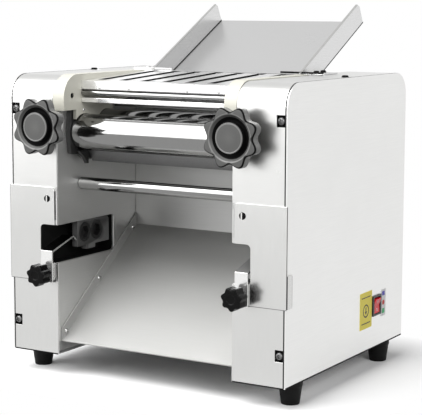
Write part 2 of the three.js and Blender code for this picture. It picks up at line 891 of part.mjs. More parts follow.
function sideGuide() {
  const top = cheekBottomHeight - guideTopGap - frontRollerHeight;
  const outside = bayX;
  const plateStart = outside - guideThickness;
  const outline = [
    ...points([guideBack, top], [guideBulge - guideFront, top]),
    ...points([-guideFront, 0]),
    ...arc(guideBulge + guideCorner - guideFront, guideCorner - guideDrop, guideCorner, 180, 270, 4),
    ...points([guideBack / 2, -guideDrop], [guideBack, -guideDrop / 2]),
  ];
  const claw = points(
    [-clawFront, -clawTopDrop],
    [0, -clawMiddleDrop],
    [clawBack / 2 - clawTipWidth, -clawTipDrop],
    [clawBack / 2, -clawTipDrop],
    [clawBack / 2, -clawMiddleDrop],
    [clawBack - clawTipWidth, -clawMiddleDrop - clawTipWidth],
    [clawBack, -clawMiddleDrop],
    [clawBack / 2, -clawTopDrop],
  );
  return alongX(outline, plateStart, outside)
    .subtract(barX(shaftRadius + runningGap, 0, outerX, 0, 0))
    .add(alongX(claw, plateStart - clawThickness, plateStart + seatGap));
}

// A blade that runs from just under its roller down towards the nip's way out, on the side given
function scraper(side, halfLength) {
  const start = rollerRadius + runningGap;
  const contact = radians(-scraperContact);
  const slant = radians(-scraperSlant);
  const top = new THREE.Vector2(start * Math.cos(contact), start * Math.sin(contact));
  const down = new THREE.Vector2(Math.cos(slant), Math.sin(slant));
  const across = new THREE.Vector2(down.y, -down.x).multiplyScalar(scraperThickness);
  const bottom = top.clone().addScaledVector(down, scraperReach);
  const outline = [top, top.clone().add(across), bottom.clone().add(across), bottom];
  outline.forEach((point) => point.setX(point.x * side));
  return alongX(side > 0 ? outline : outline.reverse(), -halfLength, halfLength);
}

// Gears: an outline of straight-sided teeth in the (Y, Z) plane, the first on the +Y line
function gearOutline(teeth, module, addendum, dedendum) {
  const pitchRadius = teeth * module / 2;
  const tip = pitchRadius + addendum * module;
  const root = pitchRadius - dedendum * module;
  const outline = [];
  for (let i = 0; i < teeth; i += 1) {
    const corners = [
      [root, -toothRootShare],
      [tip, -toothTipShare],
      [tip, toothTipShare],
      [root, toothRootShare],
    ];
    for (const [radius, share] of corners) {
      const angle = 2 * Math.PI * (i + share) / teeth;
      outline.push(new THREE.Vector2(radius * Math.cos(angle), radius * Math.sin(angle)));
    }
  }
  return outline;
}

function gear(outline, x0, x1, bore) {
  return alongX(outline, x0, x1).subtract(barX(bore, x0 - cutOverrun, x1 + cutOverrun, 0, 0));
}

// The turn that puts a gear in mesh with a turned neighbour that lies at an angle from it
function meshTurn(teeth, angle, neighbourTeeth, neighbourTurn) {
  const neighbourPhase = (angle + Math.PI - neighbourTurn) * neighbourTeeth / (2 * Math.PI);
  return angle - 2 * Math.PI * (1 / 2 - neighbourPhase) / teeth;
}

// The rear socket's wide gear meets the idler and, further out, the front socket's gear
function socketShaft(gearStart) {
  const face = cutterBlockSetOut;
  const collarEnd = face + cutterBlockThickness;
  const end = gearSetOut + 2 * gearWidth;
  const body = turnedX([
    [0, face],
    [socketRadius, face],
    [socketRadius, collarEnd],
    [socketShaftRadius, collarEnd],
    [socketShaftRadius, end],
    [0, end],
  ], 24);
  const recess = barX(socketRecessRadius, face - cutOverrun, face + socketRecessDepth, 0, 0, 6);
  const teeth = alongX(
    gearOutline(socketTeeth, rollerModule, addendumShare, dedendumShare), gearStart, end,
  );
  return body.subtract(recess).add(teeth);
}

function cutterBlock() {
  const front = rearRollerPlace - socketSpacing - cutterBlockFrontSide;
  const back = rearRollerPlace + cutterBlockBackSide;
  const bottom = socketHeight - cutterBlockDrop;
  const top = socketHeight + cutterBlockRise;
  const tab = rearRollerPlace - socketSpacing / 2;
  const outline = points(
    [back, bottom],
    [back, top - cutterBlockCorner],
    [back - cutterBlockCorner, top],
    [front, top],
    [front, bottom],
    [tab - cutterTabWidth / 2, bottom],
    [tab - cutterTabWidth / 2, bottom - cutterTabDrop],
    [tab + cutterTabWidth / 2, bottom - cutterTabDrop],
    [tab + cutterTabWidth / 2, bottom],
  );
  const ends = [cutterBlockSetOut, cutterBlockSetOut + cutterBlockThickness];
  const holes = [rearRollerPlace, rearRollerPlace - socketSpacing].map((place) => barX(
    socketRadius + runningGap, ends[0] - cutOverrun, ends[1] + cutOverrun, place, socketHeight,
  ));
  return holes.reduce((block, hole) => block.subtract(hole), alongX(outline, ...ends));
}

// Belt drive
function pulley(radius, boreRadius) {
  const end = pulleySetOut + pulleyWidth;
  const outside = radius + pulleyFlangeHeight;
  const blank = turnedX([
    [0, pulleySetOut],
    [outside, pulleySetOut],
    [outside, pulleySetOut + pulleyFlangeWidth],
    [radius, pulleySetOut + pulleyFlangeWidth],
    [radius, end - pulleyFlangeWidth],
    [outside, end - pulleyFlangeWidth],
    [outside, end],
    [0, end],
  ], 32);
  return blank.subtract(barX(boreRadius, pulleySetOut - cutOverrun, end + cutOverrun, 0, 0));
}

// The outline of a band stretched round two circles, the second at an offset from the first
function bandOutline(radiusA, radiusB, offset) {
  const heading = offset.angle() * 180 / Math.PI;
  const spread = Math.acos((radiusA - radiusB) / offset.length()) * 180 / Math.PI;
  return [
    ...arc(0, 0, radiusA, heading + spread, heading + 360 - spread, 20),
    ...arc(offset.x, offset.y, radiusB, heading - spread, heading + spread, 12),
  ];
}

function driveBelt() {
  const offset = new THREE.Vector2(motorPlace - jackshaftPlace, motorHeight - jackshaftHeight);
  const inner = [drivenPulleyRadius + runningGap, motorPulleyRadius + runningGap];
  const outer = inner.map((radius) => radius + beltThickness);
  const start = pulleySetOut + pulleyFlangeWidth + beltSideGap;
  const end = pulleySetOut + pulleyWidth - pulleyFlangeWidth - beltSideGap;
  return alongX(bandOutline(...outer, offset), start, end, [bandOutline(...inner, offset)]);
}

function jackshaft() {
  const start = frameOuterX + runningGap;
  const pinionEnd = gearSetOut + gearWidth + pulleyWidth + gearWidth / 5;
  const bar = barX(shaftRadius, start, pinionEnd, 0, 0);
  const teeth = alongX(
    gearOutline(pinionTeeth, driveModule, addendumShare, dedendumShare),
    pinionEnd - gearWidth,
    pinionEnd,
  );
  return bar.add(teeth);
}

function motorBody() {
  return turnedX([
    [0, motorStart],
    [motorBellRadius, motorStart],
    [motorRadius, motorStart + motorBellLength],
    [motorRadius, motorShaftEnd - motorBellLength],
    [motorBellRadius, motorShaftEnd - motorBellLength / 2],
    [motorBellRadius, motorShaftEnd],
    [0, motorShaftEnd],
  ], 40);
}

function motorPulley() {
  const shaft = barX(shaftRadius, motorShaftEnd + runningGap, pulleySetOut + pulleyWidth, 0, 0);
  return pulley(motorPulleyRadius, shaftRadius / 2).add(shaft);
}

// Knobs and clamps, each about its own axis with its back towards the machine
// and a hollow between two lobes at its top
function lobedOutline(radius, lobeDepth, lobes, steps) {
  const outline = [];
  for (let i = 0; i < lobes * steps; i += 1) {
    const turn = 2 * Math.PI * i / (lobes * steps);
    const reach = radius - lobeDepth * (1 + Math.cos(lobes * turn)) / 2;
    const angle = turn + Math.PI / 2;
    outline.push(new THREE.Vector2(reach * Math.cos(angle), reach * Math.sin(angle)));
  }
  return outline;
}

function starKnob() {
  const face = -knobFaceStand;
  const wheel = alongY(lobedOutline(knobRadius, knobLobeDepth, knobLobes, 6), face, face + knobRimDepth);
  const hub = barY(knobHubRadius, face + knobRimDepth - seatGap, -knobHubGap, 0, 0);
  const grooveEnds = [face - cutOverrun, face + knobGrooveDepth];
  const groove = barY(knobGrooveOuter, ...grooveEnds, 0, 0, 32)
    .subtract(barY(knobGrooveInner, grooveEnds[0] - cutOverrun, grooveEnds[1] + cutOverrun, 0, 0, 32));
  const socket = barY(
    spindleRadius + seatGap, -spindleHeadDepth - seatGap, cutOverrun, 0, 0,
  );
  return wheel.add(hub).subtract(groove).subtract(socket);
}

function spindle() {
  const end = frontRollerPlace - blockFront + spindleEngagement;
  return barY(spindleRadius, -spindleHeadDepth, end, 0, 0, 16);
}

function clampKnob() {
  const face = -knobFaceStand;
  const wheel = alongY(
    lobedOutline(clampKnobRadius, clampKnobLobeDepth, clampKnobLobes, 6), face, face + clampKnobDepth,
  );
  const hub = barY(
    clampHubRadius, face + clampKnobDepth - seatGap, face + clampKnobDepth + clampHubLength, 0, 0, 16,
  );
  const studEnd = frontPlateFace - leverThickness - studGrip;
  const socket = barY(studRadius + seatGap, studEnd - seatGap, cutOverrun, 0, 0);
  return wheel.add(hub).subtract(socket);
}

// A flat strip that stands in front of the plate, then turns back into the window
function clampLever() {
  const front = leverBack - leverThickness;
  const bend = new THREE.Vector2(leverBack, leverBendHeight);
  const peak = new THREE.Vector2(leverPeakReach, leverPeakHeight);
  const tip = new THREE.Vector2(leverTipReach, leverTipHeight);
  const outline = [
    ...points([front, clampHeight - leverBottomDrop], [leverBack, clampHeight - leverBottomDrop]),
    bend.clone().setY(leverBendHeight - leverThickness),
    peak.clone().setY(leverPeakHeight - leverThickness),
    tip.clone().setY(leverTipHeight - leverThickness),
    tip,
    peak,
    ...points([front, leverBendHeight]),
  ];
  const strip = alongX(outline, clampPlace - leverWidth / 2, clampPlace + leverWidth / 2);
  const hole = barY(
    studRadius + runningGap, front - cutOverrun, leverBack + cutOverrun, clampPlace, clampHeight,
  );
  return strip.subtract(hole);
}

// Switch, about the rocker's pivot, and cable gland
function switchBezel() {
  const flange = box(
    outerX + seatGap, outerX + bezelStand,
    switchPlace - bezelHalfDepth, switchPlace + bezelHalfDepth,
    switchHeight - bezelHalfHeight, switchHeight + bezelHalfHeight,
  );
  const depth = bezelHalfDepth - switchBodyMargin;
  const height = bezelHalfHeight - switchBodyMargin;
  const body = box(
    switchBodyEnd, outerX + bezelStand,
    switchPlace - depth, switchPlace + depth,
    switchHeight - height, switchHeight + height,
  );
  const pocket = box(
    outerX - rockerPivotDepth - rockerRoot - rockerEndGap, outerX + cutOverrun,
    switchPlace - rockerHalfDepth - rockerSideGap, switchPlace + rockerHalfDepth + rockerSideGap,
    switchHeight - rockerHalfHeight - rockerEndGap, switchHeight + rockerHalfHeight + rockerEndGap,
  );
  return flange.add(body).subtract(pocket);
}

function switchRocker() {
  const outline = points(
    [-rockerRoot, -rockerHalfHeight + rockerEndGap],
    [rockerCrown, -rockerHalfHeight],
    [rockerValley, 0],
    [rockerCrown, rockerHalfHeight],
    [-rockerRoot, rockerHalfHeight - rockerEndGap],
  );
  return alongY(outline, -rockerHalfDepth, rockerHalfDepth);
}

function cableGland() {
  const face = seatGap;
  const neck = barY(glandNeckRadius, -glandNeckLength, face + seatGap, 0, 0, 16);
  const head = turnedY([
    [0, face],
    [glandRadius, face],
    [glandRadius, face + glandStand / 2],
    [glandNeckRadius, face + glandStand],
    [0, face + glandStand],
  ], 16);
  return neck.add(head).subtract(
    barY(glandBoreRadius, -glandNeckLength - cutOverrun, glandStand + cutOverrun, 0, 0, 16),
  );
}

// Assembly
const frontRoller = [frontRollerPlace, frontRollerHeight];
const rearRoller = [rearRollerPlace, rearRollerHeight];
const jackshaftCentre = [jackshaftPlace, jackshaftHeight];
const motorCentre = [motorPlace, motorHeight];

add('base_frame', baseFrame(), brushedSteel);
add('right_frame_plate', rightFramePlate(), brushedSteel);
add('left_frame_plate', leftFramePlate(), brushedSteel);
const glandHole = barY(
  glandNeckRadius + seatGap, bodyDepth - cutOverrun, bodyDepth + cutOverrun, glandPlace, glandHeight,
);
add('right_cover', towerCover().subtract(glandHole), polishedSteel);
add('left_cover', mirrored(surface(towerCover())), polishedSteel);
addPair('front_plate', frontPlate(), brushedSteel);
addPair('lower_plate', lowerPlate(), brushedSteel);
add('right_side_panel', sidePanel().subtract(switchCutout()), brushedSteel);
add('left_side_panel', mirrored(surface(sidePanel())), brushedSteel);
add('right_window_liner', windowLiner(), brushedSteel);
add('left_window_liner', leftWindowLiner(), brushedSteel);
add('rear_cover', rearCover(), brushedSteel);
add('ramp', ramp(), brushedSteel);
add('inner_panel', innerPanel(), brushedSteel);
add('chute', chute(), polishedSteel);
add('tie_rod', barX(tieRodRadius, -bayX, bayX, tieRodPlace, tieRodHeight, 32), polishedSteel);

const footX = outerX - footSideInset;
addPair('front_foot', foot(), blackRubber, [footX, footFrontInset, 0]);
addPair('rear_foot', foot(), blackRubber, [footX, bodyDepth - footFrontInset, 0]);

addPair('cheek', cheek(), creamPlastic);
add('guard_cover', guardCover(), polishedSteel);
const guardMiddle = guardFront + guardThickness / 2 + guardRodRadius / 2;
const guardRodHeight = bodyHeight - guardRodDrop;
const guardStripBottom = bodyHeight - guardStripDrop;
add('guard_rod', barX(guardRodRadius, -guardX, guardX, guardMiddle, guardRodHeight, 16), polishedSteel);
add('guard_strip', box(
  -guardX, guardX,
  guardFront, guardFront + guardStripThickness,
  guardStripBottom, guardStripBottom + guardStripHeight,
), polishedSteel);

const gearEnd = gearSetOut + gearWidth;
const driveGearEnd = gearEnd + pulleyWidth + gearWidth / 5;
add('front_roller', roller(gearEnd, bearingStart + blockWidth), polishedSteel, [0, ...frontRoller]);
add('rear_roller', roller(gearEnd, driveGearEnd), polishedSteel, [0, ...rearRoller]);
addPair('front_bearing', bearingBlock(), machinedSteel, [0, ...frontRoller]);
addPair('rear_bearing', rearBearing(), machinedSteel, [0, ...rearRoller]);
addPair('side_guide', sideGuide(), blackPlastic, [0, ...frontRoller]);
const bladeHalf = bayX - guideThickness - clawThickness - seatGap;
add('front_scraper', scraper(1, bladeHalf), polishedSteel, [0, ...frontRoller]);
add('rear_scraper', scraper(-1, bayX), polishedSteel, [0, ...rearRoller]);

const shaftBore = shaftRadius + runningGap;
const longTeeth = gearOutline(rollerTeeth, rollerModule, longAddendumShare, longDedendumShare);
const longGear = mirrored(surface(gear(longTeeth, gearSetOut, gearEnd, shaftBore)));
const frontFromRear = Math.atan2(
  frontRollerHeight - rearRollerHeight, frontRollerPlace - rearRollerPlace,
);
const frontTurn = meshTurn(rollerTeeth, frontFromRear + Math.PI, rollerTeeth, 0);
add('rear_roller_gear', longGear, machinedSteel, [0, ...rearRoller]);
add('front_roller_gear', longGear, machinedSteel, [0, ...frontRoller], [frontTurn, 0, 0]);

const idlerTurn = meshTurn(idlerTeeth, Math.PI / 2, rollerTeeth, 0);
const idlerOutline = gearOutline(idlerTeeth, rollerModule, addendumShare, idlerDedendumShare);
const idler = gear(idlerOutline, gearSetOut, gearEnd, shaftBore);
const idlerCentre = [rearRollerPlace, idlerHeight];
add('idler_gear', mirrored(surface(idler)), machinedSteel, [0, ...idlerCentre], [idlerTurn, 0, 0]);

const rearSocketTurn = meshTurn(socketTeeth, Math.PI / 2, idlerTeeth, idlerTurn);
const frontSocketTurn = meshTurn(socketTeeth, 0, socketTeeth, rearSocketTurn);
const sockets = [
  ['rear_drive_socket', gearSetOut, rearRollerPlace, rearSocketTurn],
  ['front_drive_socket', gearEnd + seatGap, rearRollerPlace - socketSpacing, frontSocketTurn],
];
for (const [name, gearStart, place, turn] of sockets) {
  const shape = mirrored(surface(socketShaft(gearStart)));
  add(name, shape, blackPlastic, [0, place, socketHeight], [turn, 0, 0]);
}
add('cutter_block', mirrored(surface(cutterBlock())), greyPlastic);

const driveOutline = gearOutline(driveTeeth, driveModule, addendumShare, dedendumShare);
const driveGear = gear(driveOutline, driveGearEnd - gearWidth, driveGearEnd, shaftBore);
const pinionTurn = meshTurn(pinionTeeth, Math.PI - radians(jackshaftAngle), driveTeeth, 0);
add('drive_gear', driveGear, machinedSteel, [0, ...rearRoller]);
add('jackshaft', jackshaft(), machinedSteel, [0, ...jackshaftCentre], [pinionTurn, 0, 0]);
add('driven_pulley', pulley(drivenPulleyRadius, shaftBore), machinedSteel, [0, ...jackshaftCentre]);
add('motor_pulley', motorPulley(), machinedSteel, [0, ...motorCentre]);
add('drive_belt', driveBelt(), blackRubber, [0, ...jackshaftCentre]);
add('motor', motorBody(), motorPaint, [0, ...motorCentre]);

addPair('knob', starKnob(), greyPlastic, [knobPlace, 0, knobHeight]);
addPair('spindle', spindle(), machinedSteel, [knobPlace, 0, knobHeight]);
addPair('clamp_lever', clampLever(), polishedSteel);
addPair('clamp_knob', clampKnob(), blackPlastic, [clampPlace, 0, clampHeight]);

add('switch_bezel', switchBezel(), blackPlastic);
const rockerPlace = [outerX - rockerPivotDepth, switchPlace, switchHeight];
add('switch_rocker', switchRocker(), redPlastic, rockerPlace, [0, radians(rockerTilt), 0]);
add('cable_gland', cableGland(), blackPlastic, [glandPlace, bodyDepth, glandHeight]);

// Stand the machine on its feet, with the middle of its footprint at the origin
machine.updateMatrixWorld(true);
const reach = new THREE.Box3().setFromObject(machine);
const middle = reach.getCenter(new THREE.Vector3());
machine.position.set(-middle.x, -middle.y, footHeight);

export default machine;
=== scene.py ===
"""Looks of the electric pasta machine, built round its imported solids."""

import json
import math

import bmesh
import bpy
from mathutils import Matrix, Vector

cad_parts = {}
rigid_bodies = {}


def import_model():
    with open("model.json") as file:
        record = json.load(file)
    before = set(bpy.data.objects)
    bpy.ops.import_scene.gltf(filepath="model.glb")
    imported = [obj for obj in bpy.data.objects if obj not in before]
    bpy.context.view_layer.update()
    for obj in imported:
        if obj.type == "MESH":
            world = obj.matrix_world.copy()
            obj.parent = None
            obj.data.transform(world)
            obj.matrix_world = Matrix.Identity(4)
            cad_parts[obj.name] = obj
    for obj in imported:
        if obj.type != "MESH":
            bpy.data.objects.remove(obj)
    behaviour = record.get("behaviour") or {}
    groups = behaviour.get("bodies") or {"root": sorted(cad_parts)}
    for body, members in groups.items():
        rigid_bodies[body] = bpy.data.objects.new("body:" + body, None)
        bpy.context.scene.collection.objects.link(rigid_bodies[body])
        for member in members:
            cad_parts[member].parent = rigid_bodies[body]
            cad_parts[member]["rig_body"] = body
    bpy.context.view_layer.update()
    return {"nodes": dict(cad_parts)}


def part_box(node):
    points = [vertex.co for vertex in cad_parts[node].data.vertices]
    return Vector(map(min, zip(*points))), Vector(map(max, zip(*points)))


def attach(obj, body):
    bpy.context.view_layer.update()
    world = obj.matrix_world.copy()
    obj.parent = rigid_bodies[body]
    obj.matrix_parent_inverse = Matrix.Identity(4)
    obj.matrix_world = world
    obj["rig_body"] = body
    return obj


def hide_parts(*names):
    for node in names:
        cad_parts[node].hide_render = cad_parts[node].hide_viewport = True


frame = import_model()
scene = bpy.context.scene

MM = 0.001
# Places are given in millimetres from the middle of the front plane, at the underside of the body.
ORIGIN = Vector((-0.97456, -163.84644, 26.0))
SIDES = ((1, "right"), (-1, "left"))

# Faces and places that several pieces share, in these millimetres, with X counted from the middle.
BODY_SIDE, BODY_BACK, BODY_TOP, BODY_CORNER = 185.0, 311.5, 330.0, 27.0
PLATE_FRONT, PLATE_SIDE, PLATE_FOOT = -1.5, 186.5, 88.0
BAY_SIDE = 118.5
CHEEK_INNER = 107.3
NOTCHES = (("upper", 290.0), ("lower", 36.0))
NOTCH_X, NOTCH_HALF_WIDTH, NOTCH_HALF_HEIGHT = 176.6, 7.5, 6.4
PLATE_SCREW_HEIGHT = 185.6


def spot(x, y, z):
    return (Vector((x, y, z)) + ORIGIN) * MM


# Materials

def value_range(tree, source, low, high, from_low=0.3, from_high=0.7):
    node = tree.nodes.new("ShaderNodeMapRange")
    node.inputs["From Min"].default_value = from_low
    node.inputs["From Max"].default_value = from_high
    node.inputs["To Min"].default_value = low
    node.inputs["To Max"].default_value = high
    tree.links.new(source, node.inputs["Value"])
    return node.outputs["Result"]


def blend_colours(tree, factor, a, b):
    """A mix node's colour; its sockets 6 and 7 take the two colours and socket 0 the factor."""
    node = tree.nodes.new("ShaderNodeMix")
    node.data_type = "RGBA"
    for socket, value in ((node.inputs[6], a), (node.inputs[7], b)):
        if isinstance(value, bpy.types.NodeSocket):
            tree.links.new(value, socket)
        else:
            socket.default_value = (*value, 1.0)
    tree.links.new(factor, node.inputs[0])
    return node.outputs[2]


BLOTCH_SCALE = 14.0
COAT_ROUGHNESS = 0.08


def surface(name, colour, roughness, metallic, grain, tone, spread, bump, depth,
            edge_wear_and_sheen=0.0, edge_wear_and_sheen_colour=(0.9, 0.9, 0.9), coat=0.0, specular=0.5, painted_shade=None):
    """A grained surface.

    Grain is the noise's scale along each axis, tone the share by which the colour varies, spread the
    same for roughness, and depth the bump's height in mm. The edge wear lightens edges toward its colour:
    rubbed wear, and on the knobs partly a painted highlight along their rims. The painted shade setting is
    (dark until, light from, share of light) along Y: painted shade that darkens a part where it reaches in
    under the guard."""
    mat = bpy.data.materials.new(name)
    mat.use_nodes = True
    tree = mat.node_tree
    shader = tree.nodes["Principled BSDF"]
    shader.inputs["Metallic"].default_value = metallic
    shader.inputs["Coat Weight"].default_value = coat
    shader.inputs["Coat Roughness"].default_value = COAT_ROUGHNESS
    shader.inputs["Specular IOR Level"].default_value = specular

    where = tree.nodes.new("ShaderNodeTexCoord").outputs["Object"]
    stretch = tree.nodes.new("ShaderNodeMapping")
    stretch.inputs["Scale"].default_value = grain
    tree.links.new(where, stretch.inputs["Vector"])
    fine = tree.nodes.new("ShaderNodeTexNoise")
    fine.inputs["Scale"].default_value = 1.0
    fine.inputs["Detail"].default_value = 3.0
    tree.links.new(stretch.outputs["Vector"], fine.inputs["Vector"])
    broad = tree.nodes.new("ShaderNodeTexNoise")
    broad.inputs["Scale"].default_value = BLOTCH_SCALE
    broad.inputs["Detail"].default_value = 4.0
    tree.links.new(where, broad.inputs["Vector"])

    dark = tuple(c * (1 - tone) for c in colour)
    light = tuple(min(1.0, c * (1 + tone)) for c in colour)
    grain_tint = blend_colours(tree, value_range(tree, fine.outputs["Fac"], 0.0, 1.0), dark, light)
    broad_tint = blend_colours(tree, value_range(tree, broad.outputs["Fac"], 0.0, 0.5), grain_tint, dark)
    if edge_wear_and_sheen:
        edges = tree.nodes.new("ShaderNodeNewGeometry").outputs["Pointiness"]
        wear_and_sheen_mask = value_range(tree, edges, 0.0, edge_wear_and_sheen, 0.52, 0.6)
        broad_tint = blend_colours(tree, wear_and_sheen_mask, broad_tint, edge_wear_and_sheen_colour)
    # Painted shade: the colour darkens toward the front along Y, where the part reaches in under the guard.
    if painted_shade:
        places = tree.nodes.new("ShaderNodeSeparateXYZ")
        tree.links.new(where, places.inputs["Vector"])
        lit = value_range(tree, places.outputs["Y"], 0.0, 1.0, painted_shade[0], painted_shade[1])
        broad_tint = blend_colours(tree, lit, tuple(c * painted_shade[2] for c in colour), broad_tint)
    tree.links.new(broad_tint, shader.inputs["Base Color"])

    rough = tree.nodes.new("ShaderNodeMath")
    rough.operation = "ADD"
    tree.links.new(value_range(tree, broad.outputs["Fac"], roughness - spread, roughness), rough.inputs[0])
    tree.links.new(value_range(tree, fine.outputs["Fac"], 0.0, spread), rough.inputs[1])
    tree.links.new(rough.outputs["Value"], shader.inputs["Roughness"])

    relief = tree.nodes.new("ShaderNodeBump")
    relief.inputs["Strength"].default_value = bump
    relief.inputs["Distance"].default_value = depth * MM
    tree.links.new(fine.outputs["Fac"], relief.inputs["Height"])
    tree.links.new(relief.outputs["Normal"], shader.inputs["Normal"])
    return mat


BRUSHED_X = (30, 2600, 2600)
BRUSHED_Y = (2600, 30, 2600)
BRUSHED_Z = (2600, 2600, 30)
POLISHED_X = (2600, 60, 60)
TURNED_X = (1800, 160, 160)
FINE_GRAIN = (900, 900, 900)
MOULDED = (1300, 1300, 1300)
SCREW_GRAIN = (1200, 1200, 1200)
KNOB_GRAIN = (1500, 1500, 1500)
RUBBER_GRAIN = (1600, 1600, 1600)
# Painted shade for the chute under the guard: dark until 0.012 and full colour from 0.022 along the object's
# Y, at 3% of the colour.
CHUTE_PAINTED_SHADE = (0.012, 0.022, 0.03)

cover_steel = surface("cover_steel", (0.63, 0.63, 0.62), 0.30, 1.0, BRUSHED_X, 0.03, 0.04, 0.12, 0.01)
side_steel = surface("side_steel", (0.80, 0.80, 0.79), 0.34, 1.0, BRUSHED_Y, 0.03, 0.05, 0.15, 0.012)
front_steel = surface("front_steel", (0.65, 0.65, 0.64), 0.24, 1.0, BRUSHED_Z, 0.03, 0.05, 0.15, 0.012)
wall_steel = surface("wall_steel", (0.70, 0.70, 0.69), 0.42, 1.0, BRUSHED_Y, 0.04, 0.05, 0.2, 0.015)
# A darker copy of the wall steel: painted shade for the panel behind the rollers.
shaded_inner_steel = surface("shaded_inner_steel", (0.36, 0.36, 0.355), 0.42, 1.0, BRUSHED_X, 0.04, 0.05, 0.2, 0.015)
ramp_steel = surface("ramp_steel", (0.41, 0.41, 0.40), 0.46, 0.3, BRUSHED_X, 0.03, 0.05, 0.2, 0.015)
guard_steel = surface("guard_steel", (0.95, 0.95, 0.95), 0.14, 0.75, BRUSHED_X, 0.01, 0.012, 0.01, 0.003)
chute_steel = surface("chute_steel", (0.70, 0.70, 0.70), 0.26, 1.0, BRUSHED_Y, 0.03, 0.04, 0.08, 0.008,
                      painted_shade=CHUTE_PAINTED_SHADE)
# A darker copy of the chute steel: painted shade for the chute's plate.
shaded_chute_steel = surface("shaded_chute_steel", (0.57, 0.57, 0.57), 0.30, 1.0, BRUSHED_Y, 0.03, 0.04, 0.08, 0.008,
                     painted_shade=CHUTE_PAINTED_SHADE)
cut_steel = surface("cut_steel", (0.16, 0.16, 0.16), 0.4, 1.0, FINE_GRAIN, 0.15, 0.06, 0.2, 0.01)
mirror_steel = surface("mirror_steel", (0.25, 0.25, 0.247), 0.10, 1.0, POLISHED_X, 0.03, 0.02, 0.03, 0.004)
# Darker copies for the levers' upward faces: a painted reflection of the tower's dark, and painted shade.
lever_reflection_dark = surface("lever_reflection_dark", (0.22, 0.22, 0.22), 0.2, 1.0, FINE_GRAIN, 0.05, 0.04, 0.1, 0.01)
lever_shade = surface("lever_shade", (0.17, 0.17, 0.168), 0.4, 0.2, FINE_GRAIN, 0.05, 0.04, 0.1, 0.01)
bright_steel = surface("bright_steel", (0.84, 0.84, 0.83), 0.16, 0.85, FINE_GRAIN, 0.05, 0.04, 0.1, 0.01)
machined_steel = surface("machined_steel", (0.48, 0.48, 0.47), 0.32, 1.0, TURNED_X, 0.08, 0.08, 0.3, 0.02)
screw_steel = surface("screw_steel", (0.66, 0.66, 0.65), 0.2, 1.0, SCREW_GRAIN, 0.08, 0.06, 0.2, 0.01)
base_steel = surface("base_steel", (0.45, 0.45, 0.45), 0.4, 1.0, BRUSHED_X, 0.05, 0.06, 0.2, 0.02)
liner_black = surface("liner_black", (0.006, 0.006, 0.006), 0.5, 0.0, FINE_GRAIN, 0.2, 0.08, 0.3, 0.03,
                      specular=0.15)
cream_plastic = surface("cream_plastic", (0.57, 0.56, 0.49), 0.36, 0.0, MOULDED, 0.02, 0.05, 0.25, 0.03,
                        coat=0.15)
# The edges lighten as rubbed wear, and partly as a painted highlight along the wheel's rims.
knob_plastic = surface("knob_plastic", (0.082, 0.082, 0.080), 0.48, 0.0, KNOB_GRAIN, 0.1, 0.07, 0.45, 0.05,
                       edge_wear_and_sheen=0.4, edge_wear_and_sheen_colour=(0.26, 0.26, 0.255), specular=0.35)
# A lighter copy of the knob plastic: painted reflection on the lobes' sides.
knob_side_reflection = surface("knob_side_reflection", (0.16, 0.16, 0.157), 0.22, 0.0, KNOB_GRAIN, 0.1, 0.07, 0.3, 0.04)
# A lighter copy of the knob plastic: painted highlight on the rounded rims of the recess and the cap.
knob_edge_highlight = surface("knob_edge_highlight", (0.17, 0.17, 0.166), 0.34, 0.0, KNOB_GRAIN, 0.1, 0.07, 0.3, 0.04)
# Painted shade: black for the shadow in seams, gaps and creases.
seam_shade_black = surface("seam_shade_black", (0.03, 0.03, 0.03), 0.6, 0.0, FINE_GRAIN, 0.2, 0.08, 0.3, 0.03,
                     specular=0.2)
# Painted shade: black for the knob recesses, the guard's slot walls, notches, gaps, the cheek's pin hole and
# screws that sit in shade or mirror the dark.
shade_black = surface("shade_black", (0.006, 0.006, 0.006), 0.6, 0.0, KNOB_GRAIN, 0.2, 0.07, 0.3, 0.04,
                       specular=0.05)
clamp_black = surface("clamp_black", (0.003, 0.003, 0.003), 0.26, 0.0, MOULDED, 0.2, 0.08, 0.25, 0.03,
                      edge_wear_and_sheen=0.12, edge_wear_and_sheen_colour=(0.10, 0.10, 0.10), specular=0.10)
guide_black = surface("guide_black", (0.012, 0.012, 0.012), 0.38, 0.0, MOULDED, 0.2, 0.08, 0.3, 0.03)
block_grey = surface("block_grey", (0.05, 0.05, 0.049), 0.45, 0.0, MOULDED, 0.12, 0.08, 0.35, 0.04,
                     edge_wear_and_sheen=0.6, edge_wear_and_sheen_colour=(0.20, 0.20, 0.20), specular=0.25)
foot_rubber = surface("foot_rubber", (0.006, 0.006, 0.006), 0.5, 0.0, RUBBER_GRAIN, 0.25, 0.1, 0.5, 0.06,
                      specular=0.12)
belt_rubber = surface("belt_rubber", (0.02, 0.02, 0.02), 0.7, 0.0, RUBBER_GRAIN, 0.25, 0.1, 0.6, 0.08)
motor_paint = surface("motor_paint", (0.08, 0.09, 0.10), 0.5, 0.0, (700, 700, 700), 0.1, 0.1, 0.6, 0.1,
                      edge_wear_and_sheen=0.5, edge_wear_and_sheen_colour=(0.3, 0.3, 0.3))
pulley_metal = surface("pulley_metal", (0.62, 0.62, 0.63), 0.3, 1.0, TURNED_X, 0.06, 0.08, 0.3, 0.02)
switch_black = surface("switch_black", (0.012, 0.012, 0.012), 0.34, 0.0, KNOB_GRAIN, 0.2, 0.08, 0.3, 0.03)
rocker_red = surface("rocker_red", (1.0, 0.02, 0.03), 0.3, 0.0, (500, 500, 500), 0.08, 0.05, 0.1, 0.01,
                     coat=0.1, specular=0.3)
paper_yellow = surface("paper_yellow", (1.0, 0.84, 0.12), 0.45, 0.0, FINE_GRAIN, 0.05, 0.06, 0.2, 0.02)
paper_white = surface("paper_white", (0.88, 0.88, 0.88), 0.4, 0.0, FINE_GRAIN, 0.03, 0.06, 0.2, 0.02)
ink_black = surface("ink_black", (0.02, 0.02, 0.02), 0.5, 0.0, FINE_GRAIN, 0.2, 0.06, 0.2, 0.01)
